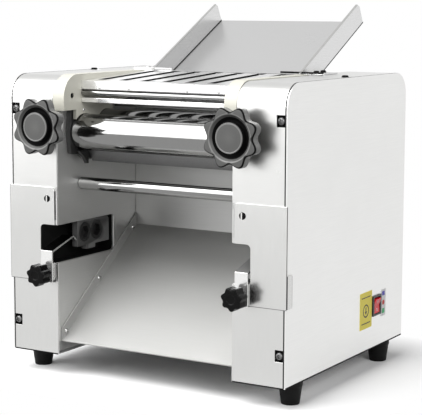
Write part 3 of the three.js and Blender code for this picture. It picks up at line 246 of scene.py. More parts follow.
ink_blue = surface("ink_blue", (0.10, 0.09, 0.50), 0.5, 0.0, FINE_GRAIN, 0.15, 0.06, 0.2, 0.01)
ink_red = surface("ink_red", (0.62, 0.05, 0.04), 0.5, 0.0, FINE_GRAIN, 0.15, 0.06, 0.2, 0.01)
ink_green = surface("ink_green", (0.04, 0.46, 0.16), 0.5, 0.0, FINE_GRAIN, 0.15, 0.06, 0.2, 0.01)
mark_white = surface("mark_white", (0.75, 0.75, 0.75), 0.4, 0.0, FINE_GRAIN, 0.05, 0.06, 0.2, 0.01)


# Shapes

# Each axis with the two directions across it.
AXES = {
    "+X": (Vector((1, 0, 0)), Vector((0, 1, 0)), Vector((0, 0, 1))),
    "-X": (Vector((-1, 0, 0)), Vector((0, -1, 0)), Vector((0, 0, 1))),
    "+Y": (Vector((0, 1, 0)), Vector((0, 0, 1)), Vector((1, 0, 0))),
    "-Y": (Vector((0, -1, 0)), Vector((0, 0, 1)), Vector((-1, 0, 0))),
    "+Z": (Vector((0, 0, 1)), Vector((1, 0, 0)), Vector((0, 1, 0))),
}


def piece(name, bm, material, body, replaces=(), smooth=38):
    """Makes the object, shades it smooth up to the angle smooth in degrees and sets what it rides."""
    bmesh.ops.recalc_face_normals(bm, faces=bm.faces)
    mesh = bpy.data.meshes.new(name)
    bm.to_mesh(mesh)
    bm.free()
    mesh.shade_smooth()
    mesh.set_sharp_from_angle(angle=math.radians(smooth))
    materials = material if isinstance(material, (list, tuple)) else [material]
    for item in materials:
        mesh.materials.append(item)
    obj = bpy.data.objects.new(name, mesh)
    scene.collection.objects.link(obj)
    weights = obj.modifiers.new("normals", "WEIGHTED_NORMAL")
    weights.keep_sharp = True
    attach(obj, body)
    if replaces:
        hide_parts(*replaces)
    return obj


MERGE_DISTANCE = 0.000003
FLAT_ANGLE = math.radians(0.6)
CUT_EDGE_WIDTH = 1.7


def soften(bm, width, segments, crease):
    """Rounds the edges that turn by more than crease degrees."""
    edges = [
        e for e in bm.edges
        if len(e.link_faces) == 2 and e.calc_face_angle(0.0) > math.radians(crease)
    ]
    if edges:
        bmesh.ops.bevel(
            bm, geom=edges, offset=width * MM, offset_type="OFFSET", segments=segments,
            profile=0.5, affect="EDGES", clamp_overlap=True,
        )


def refined(node, material, width, segments=2, crease=30, cut=None):
    """The node's own shape with its sharp edges rounded and its round faces shaded smooth.

    The narrow faces along a sheet's edge take the material cut, if there is one."""
    source = frame["nodes"][node]
    bm = bmesh.new()
    bm.from_mesh(source.data)
    bmesh.ops.remove_doubles(bm, verts=bm.verts, dist=MERGE_DISTANCE)
    if cut:
        for face in bm.faces:
            longest = max(e.calc_length() for e in face.edges)
            face.material_index = int(2 * face.calc_area() / longest < CUT_EDGE_WIDTH * MM)
    bmesh.ops.dissolve_limit(
        bm, angle_limit=FLAT_ANGLE, verts=bm.verts, edges=bm.edges, delimit={"MATERIAL"},
    )
    soften(bm, width, segments, crease)
    materials = [material, cut] if cut else material
    return piece("fine_" + node, bm, materials, source["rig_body"], (node,))


def reach_of(shape, angle):
    return shape(angle) if callable(shape) else shape


def ringed(rings, axis, centre, count=64, spin=0.0):
    """A closed body of rings round an axis.

    Each ring is (radius, along) in mm, and the radius may be a function of the angle."""
    along, across, up = AXES[axis]
    bm = bmesh.new()
    rows = []
    for shape, distance in rings:
        middle = centre + along * distance * MM
        if not callable(shape) and shape <= 0:
            rows.append([bm.verts.new(middle)])
            continue
        row = []
        for i in range(count):
            angle = 2 * math.pi * i / count
            reach = reach_of(shape, angle) * MM
            turned = angle + spin
            row.append(bm.verts.new(middle + (across * math.cos(turned) + up * math.sin(turned)) * reach))
        rows.append(row)
    for first, second in zip(rows, rows[1:]):
        for i in range(count):
            j = (i + 1) % count
            corners = [
                first[i % len(first)], first[j % len(first)],
                second[j % len(second)], second[i % len(second)],
            ]
            unique = list(dict.fromkeys(corners))
            if len(unique) > 2:
                bm.faces.new(unique)
    return bm


def lobed(radius, lobe_depth, lobes, inset=0.0):
    """A round outline with a hollow between two lobes at angle 0."""
    return lambda a: radius - inset - lobe_depth * (1 + math.cos(lobes * a)) / 2


def paint(bm, axis, centre, index, inner, outer, start, end):
    """Gives faces another material by their middle's distance from the axis and place along it, in mm."""
    along = AXES[axis][0]
    for face in bm.faces:
        offset = (face.calc_center_median() - centre) / MM
        place = offset.dot(along)
        radius = (offset - along * place).length
        if inner < radius < outer and start < place < end:
            face.material_index = index


def hexagon(flat_radius):
    """A six-sided outline, by its radius to a flat."""
    third = math.pi / 3
    return lambda a: flat_radius / math.cos((a % third) - third / 2)


def cross(half_length, half_width):
    """The outline of a cross-head screw's recess."""
    quarter = math.pi / 2

    def reach(a):
        folded = a % quarter
        folded = min(folded, quarter - folded)
        return min(half_length / math.cos(folded), half_width / max(math.sin(folded), 1e-6))
    return reach


def extruded(outline, axis, centre, start, end):
    """A closed plate whose outline is (across, up) pairs in mm, between two distances along the axis."""
    along, across, up = AXES[axis]
    bm = bmesh.new()
    ends = []
    for distance in (start, end):
        ends.append([
            bm.verts.new(centre + (along * distance + across * u + up * v) * MM) for u, v in outline
        ])
    bm.faces.new(ends[0])
    bm.faces.new(list(reversed(ends[1])))
    for i in range(len(outline)):
        j = (i + 1) % len(outline)
        bm.faces.new([ends[0][i], ends[0][j], ends[1][j], ends[1][i]])
    return bm


BOX_CORNER_STEPS = 5


def rounded_box(u0, u1, v0, v1, radius):
    """A rectangle's outline with round corners, as (across, up) pairs in mm."""
    outline = []
    for cu, cv, start in (
        (u1 - radius, v1 - radius, 0), (u0 + radius, v1 - radius, 90),
        (u0 + radius, v0 + radius, 180), (u1 - radius, v0 + radius, 270),
    ):
        for i in range(BOX_CORNER_STEPS + 1):
            a = math.radians(start + 90 * i / BOX_CORNER_STEPS)
            outline.append((cu + radius * math.cos(a), cv + radius * math.sin(a)))
    return outline


# Sheet metal and mouldings

for _, name in SIDES:
    refined(name + "_cover", cover_steel, 0.35)
    refined(name + "_front_plate", front_steel, 0.3)
    refined(name + "_lower_plate", front_steel, 0.3)
    refined(name + "_side_panel", side_steel, 0.45, 3)
    refined(name + "_frame_plate", wall_steel, 0.4)
    refined(name + "_window_liner", liner_black, 0.25)
    refined(name + "_cheek", cream_plastic, 1.1, 4, 32)
    refined(name + "_side_guide", guide_black, 0.5, 3)
    refined(name + "_front_bearing", machined_steel, 0.4)
    refined(name + "_rear_bearing", machined_steel, 0.4)

# A lever's strap is bright, and its wide faces that look up are painted dark: a painted reflection of the
# tower's dark on the left lever, painted shade on the right one.
WIDE_FACE = 0.00002
for _, name in SIDES:
    lever = refined(name + "_clamp_lever", bright_steel, 0.35, 3)
    lever.data.materials.append(lever_shade if name == "right" else lever_reflection_dark)
    for face in lever.data.polygons:
        face.material_index = int(face.area > WIDE_FACE and face.normal.z > 0.2)
refined("base_frame", base_steel, 0.4)
refined("rear_cover", side_steel, 0.35)
refined("ramp", ramp_steel, 0.35)
refined("inner_panel", shaded_inner_steel, 0.3)
# The guard cover's slot walls take black as painted shade.
refined("guard_cover", guard_steel, 0.12, 1, cut=shade_black)
refined("guard_strip", guard_steel, 0.4, 3)
refined("cutter_block", block_grey, 0.6, 3)
refined("switch_bezel", switch_black, 0.5, 3)
refined("switch_rocker", rocker_red, 0.6, 3)
refined("motor", motor_paint, 0.5)
refined("driven_pulley", pulley_metal, 0.3)
refined("motor_pulley", machined_steel, 0.3)
refined("jackshaft", machined_steel, 0.2)
refined("drive_belt", belt_rubber, 0.4)
refined("front_scraper", cut_steel, 0.25)
refined("rear_scraper", cut_steel, 0.25)
for node in ("rear_roller_gear", "front_roller_gear", "idler_gear", "drive_gear"):
    refined(node, machined_steel, 0.2)
for node in ("rear_drive_socket", "front_drive_socket"):
    refined(node, guide_black, 0.4, 3)


# Chute

CHUTE_HALF = 105.6
CHUTE_MOUTH, CHUTE_FOOT, CHUTE_TIP = (97.96, 291.2), (228.0, 325.6), (353.0, 390.7)
SHEET = 1.5
LEDGE = 330.3
FLANGE_FRONT, FLANGE_HEIGHT, FLANGE_TIP_CUT = 180.7, 26.0, 4.0
EAR_SIDE, EAR_FRONT, EAR_BACK = 135.0, 186.0, 224.0


def beside(point, along, across, start, end):
    """The point moved by along and across the direction from start to end, all as (Y, Z) in mm."""
    length = math.hypot(end[0] - start[0], end[1] - start[1])
    dy, dz = (end[0] - start[0]) / length, (end[1] - start[1]) / length
    return (point[0] + along * dy - across * dz, point[1] + along * dz + across * dy)


def chute_sheet(name, outline, x0, x1, replaces=(), material=chute_steel):
    """A bent sheet between two places along X, with its cut edges darker."""
    bm = extruded(outline, "+X", spot(0, 0, 0), x0, x1)
    bmesh.ops.recalc_face_normals(bm, faces=bm.faces)
    for face in bm.faces:
        longest = max(e.calc_length() for e in face.edges)
        face.material_index = int(2 * face.calc_area() / longest < 2 * SHEET * MM + 0.0002)
    soften(bm, 0.2, 2, 20)
    piece(name, bm, [material, cut_steel], "housing", replaces, 12)


def chute_line(name, path, width, x0, x1, material):
    """A narrow line along a path of (Y, Z) points, as wide as width upward."""
    outline = list(path) + [(y, z + width) for y, z in reversed(path)]
    piece(name, extruded(outline, "+X", spot(0, 0, 0), x0, x1), material, "housing", (), 30)


tip_under = beside(CHUTE_TIP, 0.0, -SHEET, CHUTE_FOOT, CHUTE_TIP)
foot_under = (CHUTE_FOOT[0], CHUTE_FOOT[1] - SHEET)
chute_sheet("chute_plate", [
    CHUTE_MOUTH, (CHUTE_MOUTH[0], CHUTE_MOUTH[1] - SHEET), foot_under, tip_under, CHUTE_TIP, CHUTE_FOOT,
], -CHUTE_HALF + SHEET, CHUTE_HALF - SHEET, ("chute",), shaded_chute_steel)
flange_outline = [
    beside(CHUTE_TIP, 0.0, FLANGE_HEIGHT - FLANGE_TIP_CUT, CHUTE_FOOT, CHUTE_TIP),
    beside(CHUTE_TIP, -FLANGE_TIP_CUT, FLANGE_HEIGHT, CHUTE_FOOT, CHUTE_TIP),
    (FLANGE_FRONT, LEDGE), (FLANGE_FRONT, CHUTE_FOOT[1] - 13.0), foot_under, tip_under,
]
for side, name in SIDES:
    inner, outer = sorted((side * (CHUTE_HALF - SHEET), side * CHUTE_HALF))
    chute_sheet(f"chute_{name}_flange", flange_outline, inner, outer)
    near, far = sorted((side * (CHUTE_HALF - SHEET), side * EAR_SIDE))
    ear = extruded(rounded_box(near, far, EAR_FRONT, EAR_BACK, 3.0), "+Z", spot(0, 0, LEDGE), 0.0, SHEET)
    soften(ear, 0.2, 2, 40)
    piece(f"chute_{name}_ear", ear, chute_steel, "housing", (), 30)
    top_edge = [(183.0, LEDGE + 0.4), beside(CHUTE_TIP, -5.0, FLANGE_HEIGHT, CHUTE_FOOT, CHUTE_TIP)]
    hem_near, hem_far = sorted((side * (CHUTE_HALF - SHEET - 1.2), side * (CHUTE_HALF + 0.1)))
    chute_line(f"chute_{name}_hem", top_edge, 1.0, hem_near, hem_far, machined_steel)
    # Painted shade: black lines along the flange's bend on both faces, where the crease is in shade.
    bend_near, bend_far = sorted((side * (CHUTE_HALF - SHEET - 0.25), side * (CHUTE_HALF - SHEET)))
    bend = [(200.0, CHUTE_FOOT[1] - 7.0), CHUTE_FOOT, CHUTE_TIP]
    chute_line(f"chute_{name}_bend", bend, 1.3, bend_near, bend_far, seam_shade_black)
    back_near, back_far = sorted((side * CHUTE_HALF, side * (CHUTE_HALF + 0.15)))
    chute_line(f"chute_{name}_back_bend", [foot_under, tip_under], 1.4, back_near, back_far, seam_shade_black)


# Rollers and rods

def node_middle(node):
    low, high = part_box(node)
    return (low + high) / 2, low, high


ROLLER_HALF, SHAFT_RADIUS = 112.2, 7.0


def turned_size(node):
    """A round node's centre on its axis along X, and its two ends and radius in mm."""
    middle, low, high = node_middle(node)
    centre = Vector((0.0, middle.y, middle.z))
    return centre, low.x / MM, high.x / MM, (high.z - low.z) / 2 / MM


def roller(node, body):
    """A roller with its shaft; each end face has a shallow ring turned in it and a rounded rim."""
    centre, left, right, radius = turned_size(node)
    shaft = SHAFT_RADIUS
    end_face = [
        (shaft, -0.4), (shaft + 0.4, 0.0), (shaft + 2.0, 0.0), (shaft + 2.4, 0.5), (radius - 3.4, 0.5),
        (radius - 3.0, 0.0), (radius - 1.0, 0.0), (radius - 0.5, 0.1), (radius - 0.12, 0.4), (radius, 1.0),
        (radius, ROLLER_HALF / 2),
    ]
    rings = [
        (0, left), (shaft - 0.6, left), (shaft, left + 0.6),
        *[(reach, ORIGIN.x - ROLLER_HALF + inward) for reach, inward in end_face],
        (radius, ORIGIN.x),
        *[(reach, ORIGIN.x + ROLLER_HALF - inward) for reach, inward in reversed(end_face)],
        (shaft, right - 0.6), (shaft - 0.6, right), (0, right),
    ]
    bm = ringed(rings, "+X", centre, 128)
    piece("fine_" + node, bm, mirror_steel, body, (node,))


roller("front_roller", "front_roller_set")
roller("rear_roller", "rear_roller_set")


def rod(node, edge, count):
    centre, left, right, radius = turned_size(node)
    rings = [
        (0, left), (radius - edge, left), (radius - edge * 0.3, left + edge * 0.3), (radius, left + edge),
        (radius, (left + right) / 2),
        (radius, right - edge), (radius - edge * 0.3, right - edge * 0.3), (radius - edge, right), (0, right),
    ]
    bm = ringed(rings, "+X", centre, count)
    piece("fine_" + node, bm, mirror_steel, "housing", (node,))


rod("tie_rod", 0.8, 96)
rod("guard_rod", 0.5, 64)


# Knobs, feet and gland

THREAD_STEP, THREAD_DEPTH = 0.75, 0.45


def star_knob(side, name):
    centre = spot(129 * side, 0, 271.6)
    body = name + "_gap_knob"

    def rim(inset):
        return lobed(34.3, 6.2, 8, inset)

    wheel = ringed([
        (0, -19.95), (18.8, -19.95), (19.6, -20.4), (22.6, -23.2), (25.0, -25.4), (25.4, -25.85),
        (25.9, -26.0), (26.5, -26.0),
        (rim(2.4), -26.0), (rim(1.5), -25.85), (rim(0.8), -25.45), (rim(0.3), -24.8), (rim(0.0), -23.8),
        (rim(0.0), -19.0), (rim(0.0), -14.4), (rim(0.4), -13.3), (rim(1.0), -12.5), (rim(2.2), -12.0),
        (15.5, -12.0), (13.2, -11.6), (12.2, -10.8), (12.0, -9.6), (12.0, -1.4), (11.7, -0.8), (11.0, -0.5),
        (4.4, -0.5), (4.3, -0.8), (4.3, -18.3), (0, -18.3),
    ], "+Y", centre, 128)
    # Painted shade: black on the recess floor and its inner slope and on the wheel's rounded front rim;
    # painted highlight on the recess lip; painted reflection on the lobes' sides.
    paint(wheel, "+Y", centre, 1, 0.0, 22.8, -24.0, -19.8)
    paint(wheel, "+Y", centre, 3, 24.9, 26.4, -26.1, -25.3)
    paint(wheel, "+Y", centre, 2, 26.7, 40.0, -23.7, -13.0)
    paint(wheel, "+Y", centre, 1, 26.7, 40.0, -25.7, -23.7)
    finishes = [knob_plastic, shade_black, knob_side_reflection, knob_edge_highlight]
    piece(f"{name}_knob_wheel", wheel, finishes, body, (name + "_knob",), 42)
    cap = ringed([
        (0, -27.0), (14.9, -27.0), (15.15, -26.85), (15.4, -27.0), (15.9, -27.1), (16.4, -27.0),
        (16.75, -26.65), (16.9, -26.2), (16.9, -23.2), (16.9, -20.05), (0, -20.05),
    ], "+Y", centre, 96)
    # Painted shade on the cap's side wall, and a painted highlight on its rounded rim.
    paint(cap, "+Y", centre, 1, 16.5, 17.0, -26.3, -20.0)
    paint(cap, "+Y", centre, 2, 15.0, 16.3, -27.2, -26.8)
    piece(f"{name}_knob_cap", cap, [knob_plastic, shade_black, knob_edge_highlight], body, (), 42)
    spindle_end = (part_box(name + "_spindle")[1].y - centre.y) / MM
    threads = int((spindle_end - 1.2) / THREAD_STEP)
    stem = ringed([
        (0, -18.0), (3.4, -18.0), (4.0, -17.4), (4.0, -0.2),
        *[(4.0 - THREAD_DEPTH * (i % 2), -0.2 + THREAD_STEP * i) for i in range(1, threads)],
        (3.6, spindle_end - 0.6), (3.0, spindle_end), (0, spindle_end),
    ], "+Y", centre, 48)
    piece(f"{name}_spindle_screw", stem, machined_steel, body, (name + "_spindle",), 30)


def clamp_knob(side, name):
    centre = spot(132 * side, 0, 97.5)

    def rim(inset):
        return lobed(13.4, 2.4, 7, inset)

    knob = ringed([
        (0, -25.4), (4.6, -25.4), (5.2, -25.6), (5.6, -26.0), (7.2, -26.0), (rim(1.6), -26.0),
        (rim(0.8), -25.75), (rim(0.3), -25.2), (rim(0.0), -24.4), (rim(0.0), -12.4), (rim(0.3), -11.6),
        (rim(0.9), -11.1), (rim(1.8), -11.0), (7.4, -11.0), (7.0, -10.6), (7.0, -6.5),
        (6.6, -6.0), (4.4, -6.0), (4.3, -6.3), (4.3, -12.8), (0, -12.8),
    ], "+Y", centre, 112)
    replaced = (name + "_clamp_knob",)
    piece(f"{name}_clamp_grip", knob, clamp_black, name + "_clamp_nut", replaced, 40)


def foot(node):
    middle, low, high = node_middle(node)
    centre = Vector((middle.x, middle.y, 0.0))
    top = high.z / MM
    rings = [
        (0, 0.0), (7.0, 0.0), (7.4, 0.5), (8.6, 0.5), (9.0, 0.0), (9.8, 0.0), (10.3, 0.35), (10.5, 1.0),
        (11.8, 10.0), (12.9, 18.6), (13.2, 20.4), (13.6, 20.9), (13.8, 21.4), (13.8, top - 0.5),
        (13.4, top), (0, top),
    ]
    bm = ringed(rings, "+Z", centre, 64)
    piece("fine_" + node, bm, foot_rubber, "housing", (node,), 40)


for side, name in SIDES:
    star_knob(side, name)
    clamp_knob(side, name)
for node in ("right_front_foot", "left_front_foot", "right_rear_foot", "left_rear_foot"):
    foot(node)

CLOSING_DISTANCE = 0.0000001
gland = ringed([
    (3.5, -8.0), (5.6, -8.0), (6.0, -7.6), (6.0, 0.3), (hexagon(8.2), 0.3), (hexagon(8.4), 0.7),
    (hexagon(8.4), 4.3), (hexagon(8.2), 4.8), (7.6, 5.0), (7.4, 5.6), (6.9, 8.4), (6.2, 9.2),
    (5.0, 9.3), (3.9, 9.0), (3.5, 8.4), (3.5, -8.0),
], "+Y", spot(150, BODY_BACK, 32), 72)
bmesh.ops.remove_doubles(gland, verts=gland.verts, dist=CLOSING_DISTANCE)
piece("cable_gland_body", gland, guide_black, "housing", ("cable_gland",), 35)


# Fasteners

def screw(name, place, axis, radius, height, material=screw_steel, spin=0.4):
    """A cross-head screw whose underside is on the place and whose top looks along the axis."""
    recess = cross(radius * 0.62, radius * 0.17)
    rings = [
        (0, 0.0), (radius * 0.97, 0.0), (radius, height * 0.12), (radius, height * 0.3),
        (radius * 0.93, height * 0.62), (radius * 0.8, height * 0.86), (radius * 0.68, height * 0.97),
        (recess, height), (recess, height * 0.4), (0, height * 0.25),
    ]
    piece(name, ringed(rings, axis, place, 72, spin), material, "housing", (), 34)


for side, name in SIDES:
    inward = "-X" if side > 0 else "+X"
    # Painted shade: on the right side the ear's screws are black, on the left grey.
    ear_screw_shade = shade_black if side > 0 else base_steel
    plate_screw = spot(132.0 * side, PLATE_FRONT, PLATE_SCREW_HEIGHT)
    # Painted reflection: the domed head is black as a chrome head mirroring the dark, with a bright bar on it
    # as a painted glint.
    screw(f"{name}_plate_screw", plate_screw, "-Y", 4.0, 1.5, shade_black, 0.5)
    glint_place = spot(131.6 * side, PLATE_FRONT, PLATE_SCREW_HEIGHT)
    glint = extruded(rounded_box(-3.6, 3.6, -0.8, 0.8, 0.5), "-Y", glint_place, 1.0, 1.75)
    piece(f"{name}_plate_screw_glint", glint, bright_steel, "housing", (), 34)
    for label, z in NOTCHES:
        screw(f"{name}_{label}_edge_screw", spot(177.6 * side, 1.5, z), "-Y", 4.2, 2.8, cut_steel, 0.3)
    # The top screws are black as painted shade in their notches.
    screw(f"{name}_top_screw", spot(176.0 * side, 157, 328.2), "+Z", 4.4, 4.0, shade_black, 0.9)
    for label, y in (("front", 196.0), ("rear", 214.0)):
        screw(f"{name}_ear_{label}_screw", spot(119.5 * side, y, 331.8), "+Z", 3.6, 2.6, ear_screw_shade, 0.7)
    for label, y, z in (("low", 13.3, 26.6), ("middle", 81.0, 79.6), ("high", 155.0, 133.0)):
        screw(f"{name}_ramp_{label}_screw", spot(116.7 * side, y, z), inward, 2.7, 1.6)
    screw(f"{name}_cheek_screw", spot(CHEEK_INNER * side, 39.0, 288.6), inward, 2.0, 0.9)
for x in (-80.6, -39.6, 39.6, 80.6):
    label = f"{'r' if x > 0 else 'l'}{int(abs(x))}"
    screw(f"guard_screw_{label}", spot(x, 34.0, 315.2), "-Y", 1.3, 0.7, machined_steel)


# Painted shade in seams, gaps and recesses

ARC_STEPS = 16


def side_outline(proud):
    """Points (Y, Z) along a tower's side, front foot to back foot over the top, set out by proud."""
    reach = BODY_CORNER + proud
    cz = BODY_TOP - BODY_CORNER
    outline = [(-proud, 0.5)]
    for cy, start in ((BODY_CORNER, 180), (BODY_BACK - BODY_CORNER, 90)):
        for i in range(ARC_STEPS + 1):
            a = math.radians(start - 90 * i / ARC_STEPS)
            outline.append((cy + reach * math.cos(a), cz + reach * math.sin(a)))
    outline.append((BODY_BACK + proud, 0.5))
    return outline


def cheek_outline(proud):
    """The front part of a tower's outline, beside the cheek."""
    return [(-proud, 284.0), *side_outline(proud)[1:ARC_STEPS + 2], (172.0, BODY_TOP + proud)]


def seam(name, side, x0, x1, outline=side_outline):
    """A black strip in the joint between a cover and its neighbour: painted shade for the gap's shadow."""
    bm = bmesh.new()
    rows = []
    for (y0, z0), (y1, z1) in zip(outline(-0.25), outline(0.12)):
        corners = ((x0, y0, z0), (x1, y0, z0), (x1, y1, z1), (x0, y1, z1))
        rows.append([bm.verts.new(spot(side * x, y, z)) for x, y, z in corners])
    for first, second in zip(rows, rows[1:]):
        for i in range(4):
            j = (i + 1) % 4
            bm.faces.new([first[i], first[j], second[j], second[i]])
    bm.faces.new(rows[0])
    bm.faces.new(list(reversed(rows[-1])))
    piece(name, bm, seam_shade_black, "housing", (), 30)


SHADE_PLATE_THICKNESS = 0.4


def shade_plate(name, axis, place, outline):
    bm = extruded(outline, axis, place, 0.0, SHADE_PLATE_THICKNESS)
    soften(bm, 0.08, 2, 40)
    piece(name, bm, shade_black, "housing", (), 40)


def trim_strip(name, x, y, z, material=seam_shade_black, round_edge=0.02):
    """A thin strip between two places each along X, Y and Z, in mm."""
    x, y, z = sorted(x), sorted(y), sorted(z)
    bm = extruded([(y[0], z[0]), (y[1], z[0]), (y[1], z[1]), (y[0], z[1])], "+X", spot(0, 0, 0), *x)
    soften(bm, round_edge, 2, 40)
    piece(name, bm, material, "housing", (), 40)


wide_notch = rounded_box(-NOTCH_HALF_WIDTH, NOTCH_HALF_WIDTH, -NOTCH_HALF_HEIGHT, NOTCH_HALF_HEIGHT, 1.0)
tall_notch = rounded_box(-NOTCH_HALF_HEIGHT, NOTCH_HALF_HEIGHT, -NOTCH_HALF_WIDTH, NOTCH_HALF_WIDTH, 1.0)
for side, name in SIDES:
    seam(f"{name}_seam", side, 182.3, 183.9)
    seam(f"{name}_cheek_seam", side, 123.2, 123.7, cheek_outline)
    # Painted shade: black plates behind the notches, where the notch is in shade.
    for label, z in NOTCHES:
        shade_plate(f"{name}_{label}_notch_back", "-Y", spot(NOTCH_X * side, 3.0, z), wide_notch)
    shade_plate(f"{name}_top_notch_back", "+Z", spot(NOTCH_X * side, 161, 327.0), tall_notch)
    # Painted shade: a black filling in the cheek's pin hole.
    pin = ringed([
        (0, 0.6), (2.2, 0.6), (2.9, 0.9), (3.15, 1.4), (3.15, 7.6), (0, 7.6),
    ], "-X" if side < 0 else "+X", spot(CHEEK_INNER * side, 16.6, 306.3), 40)
    piece(f"{name}_cheek_hole_shade", pin, shade_black, "housing", (), 40)
    panel_face = (BODY_SIDE * side, (BODY_SIDE + 0.12) * side)
    plate_face = (PLATE_SIDE * side, (PLATE_SIDE + 0.1) * side)
    # Painted shade: dark strips in the front plates' joint with the side panel, along their ends, returns and
    # foot.
    trim_strip(f"{name}_plate_seam", panel_face, (0.1, 1.9), (124.8, 199.0), shade_black)
    trim_strip(f"{name}_plate_end", plate_face, (PLATE_FRONT, -0.2), (PLATE_FOOT, 199.0), shade_black)
    trim_strip(f"{name}_return_line", plate_face, (-0.2, 1.2), (PLATE_FOOT, 124.0), shade_black)
    trim_strip(f"{name}_plate_foot", (121.6 * side, 186.4 * side), (-1.56, -0.4), (87.05, 87.55), cut_steel)
    edge_face = (PLATE_SIDE * side, (PLATE_SIDE + 0.08) * side)
    trim_strip(f"{name}_return_edge", edge_face, (11.7, 12.3), (89.0, 123.0), base_steel)
    # Painted shade: dark lines at the plate's inner end and along the side panel's and front's foot.
    trim_strip(f"{name}_plate_inner_end", (121.4 * side, 121.5 * side), (PLATE_FRONT, -0.3), (160.5, 194.5))
    foot_face = (BODY_SIDE * side, (BODY_SIDE + 0.06) * side)
    trim_strip(f"{name}_panel_foot", foot_face, (1.0, 310.5), (-0.2, 1.5), shade_black)
    front_foot = (119.0 * side, 183.0 * side)
    trim_strip(f"{name}_front_foot_line", front_foot, (-0.06, 0.1), (-0.3, 1.2), shade_black)
    # Painted shade: a strip along the ear's front edge, black on the right side and grey on the left.
    ear_lip_shade = shade_black if side > 0 else base_steel
    trim_strip(f"{name}_ear_lip", (77.0 * side, 134.0 * side), (184.6, 185.95), (331.0, 333.2), ear_lip_shade)
    wall_edge = (BAY_SIDE * side, 121.3 * side)
    for label, z in (("high", (155.0, 199.2)), ("low", (87.6, 109.8))):
        trim_strip(f"{name}_wall_edge_{label}", wall_edge, (0.0, 1.4), z, front_steel, 0.6)


# Painted shade: black strips under the guard's slot walls

GUARD_LINE = ((51.2, 323.98), (172.8, 330.18))
GUARD_SLOTS, SLOT_PITCH, SLOT_HALF = 7, 30.0, 6.0
slot_shade = bmesh.new()
for i in range(GUARD_SLOTS):
    for way in (-1, 1):
        wall = SLOT_PITCH * (i - (GUARD_SLOTS - 1) / 2) + SLOT_HALF * way
        x0, x1 = sorted((wall + 0.3 * way, wall - 0.15 * way))
        corners = [(y, z + drop) for drop in (-0.05, -3.3) for y, z in GUARD_LINE]
        outline = [corners[0], corners[1], corners[3], corners[2]]
        ends = [[slot_shade.verts.new(spot(x, y, z)) for y, z in outline] for x in (x0, x1)]
        slot_shade.faces.new(ends[0])
        slot_shade.faces.new(list(reversed(ends[1])))
        for j in range(4):
            k = (j + 1) % 4
            slot_shade.faces.new([ends[0][j], ends[0][k], ends[1][k], ends[1][j]])
piece("guard_slot_shade", slot_shade, shade_black, "housing", (), 40)


# Stickers and switch marks

def plate(name, material, y0, y1, z0, z1, start, end, corner):
    """A thin plate on the right side, between two places each along Y and Z and outward, in mm."""
    bm = extruded(rounded_box(y0, y1, z0, z1, corner), "+X", spot(BODY_SIDE, 0, 0), start, end)
    soften(bm, 0.05, 2, 40)
    piece(name, bm, material, "housing", (), 40)


plate("yellow_sticker", paper_yellow, 187.5, 221.0, 28.0, 72.5, 0.0, 0.25, 1.2)
plate("white_sticker", paper_white, 247.2, 261.0, 35.0, 68.0, 0.0, 0.2, 1.0)
ring_centre = spot(BODY_SIDE, 204.2, 49.5)
outer_ring = ringed([(6.4, 0.25), (8.0, 0.25), (8.0, 0.33), (6.4, 0.33), (6.4, 0.25)], "+X", ring_centre, 64)
bmesh.ops.remove_doubles(outer_ring, verts=outer_ring.verts, dist=CLOSING_DISTANCE)
piece("sticker_ring", outer_ring, ink_black, "housing", (), 40)
arrow = [(-1.0, 4.6), (-1.0, -0.6), (-2.8, -0.6), (0.0, -4.9), (2.8, -0.6), (1.0, -0.6), (1.0, 4.6)]
arrow_plate = extruded(arrow, "+X", ring_centre, 0.25, 0.33)
piece("sticker_arrow", arrow_plate, ink_black, "housing", (), 40)
plate("sticker_band_high", ink_black, 192.0, 216.5, 65.4, 66.6, 0.25, 0.31, 0.4)
plate("sticker_band_low", ink_black, 192.0, 216.5, 34.0, 35.2, 0.25, 0.31, 0.4)
plate("mark_blue", ink_blue, 250.6, 258.0, 60.2, 65.4, 0.2, 0.28, 0.8)
plate("mark_red", ink_red, 251.0, 257.6, 48.6, 54.6, 0.2, 0.28, 2.8)
plate("mark_green", ink_green, 251.0, 257.6, 38.2, 44.2, 0.2, 0.28, 0.8)

rocker_turn = Matrix.Rotation(math.radians(7), 4, "Y")
rocker_pivot = spot(181.0, 234.3, 51.5)
ROCKER_MIDDLE, ROCKER_SLOPE = 4.6, 0.2


def on_rocker(name, bm):
    """Lays a mark that was drawn flat on the rocker's sloping half, just proud of it."""
    for vert in bm.verts:
        height = (vert.co.z - rocker_pivot.z) / MM
        vert.co.x += (ROCKER_MIDDLE + abs(height) * ROCKER_SLOPE) * MM
        vert.co = rocker_pivot + rocker_turn @ (vert.co - rocker_pivot)
    piece(name, bm, mark_white, "rocker", (), 40)


bar = extruded(rounded_box(-0.55, 0.55, 2.9, 6.9, 0.3), "+X", rocker_pivot, -0.2, 0.08)
on_rocker("rocker_mark_on", bar)
off_centre = rocker_pivot - Vector((0, 0, 4.9 * MM))
ring = ringed([(1.25, -0.2), (1.95, -0.2), (1.95, 0.08), (1.25, 0.08), (1.25, -0.2)], "+X", off_centre, 40)
bmesh.ops.remove_doubles(ring, verts=ring.verts, dist=CLOSING_DISTANCE)
on_rocker("rocker_mark_off", ring)


# Stage, light and camera

FLOOR_REACH = 1.25
# The floor keeps its shadow up to 0.02 m beyond this half box and is white from 0.12 m beyond it.
SHADED_HALF = (0.165, 0.125, 0.01)
SHADED_EDGE = (0.02, 0.12)
FLOOR_BOUNCE, FLOOR_SEEN = (0.34, 0.34, 0.34), (0.98, 0.98, 0.98)
WORLD_LIGHT, WORLD_SEEN = 0.15, 1.0


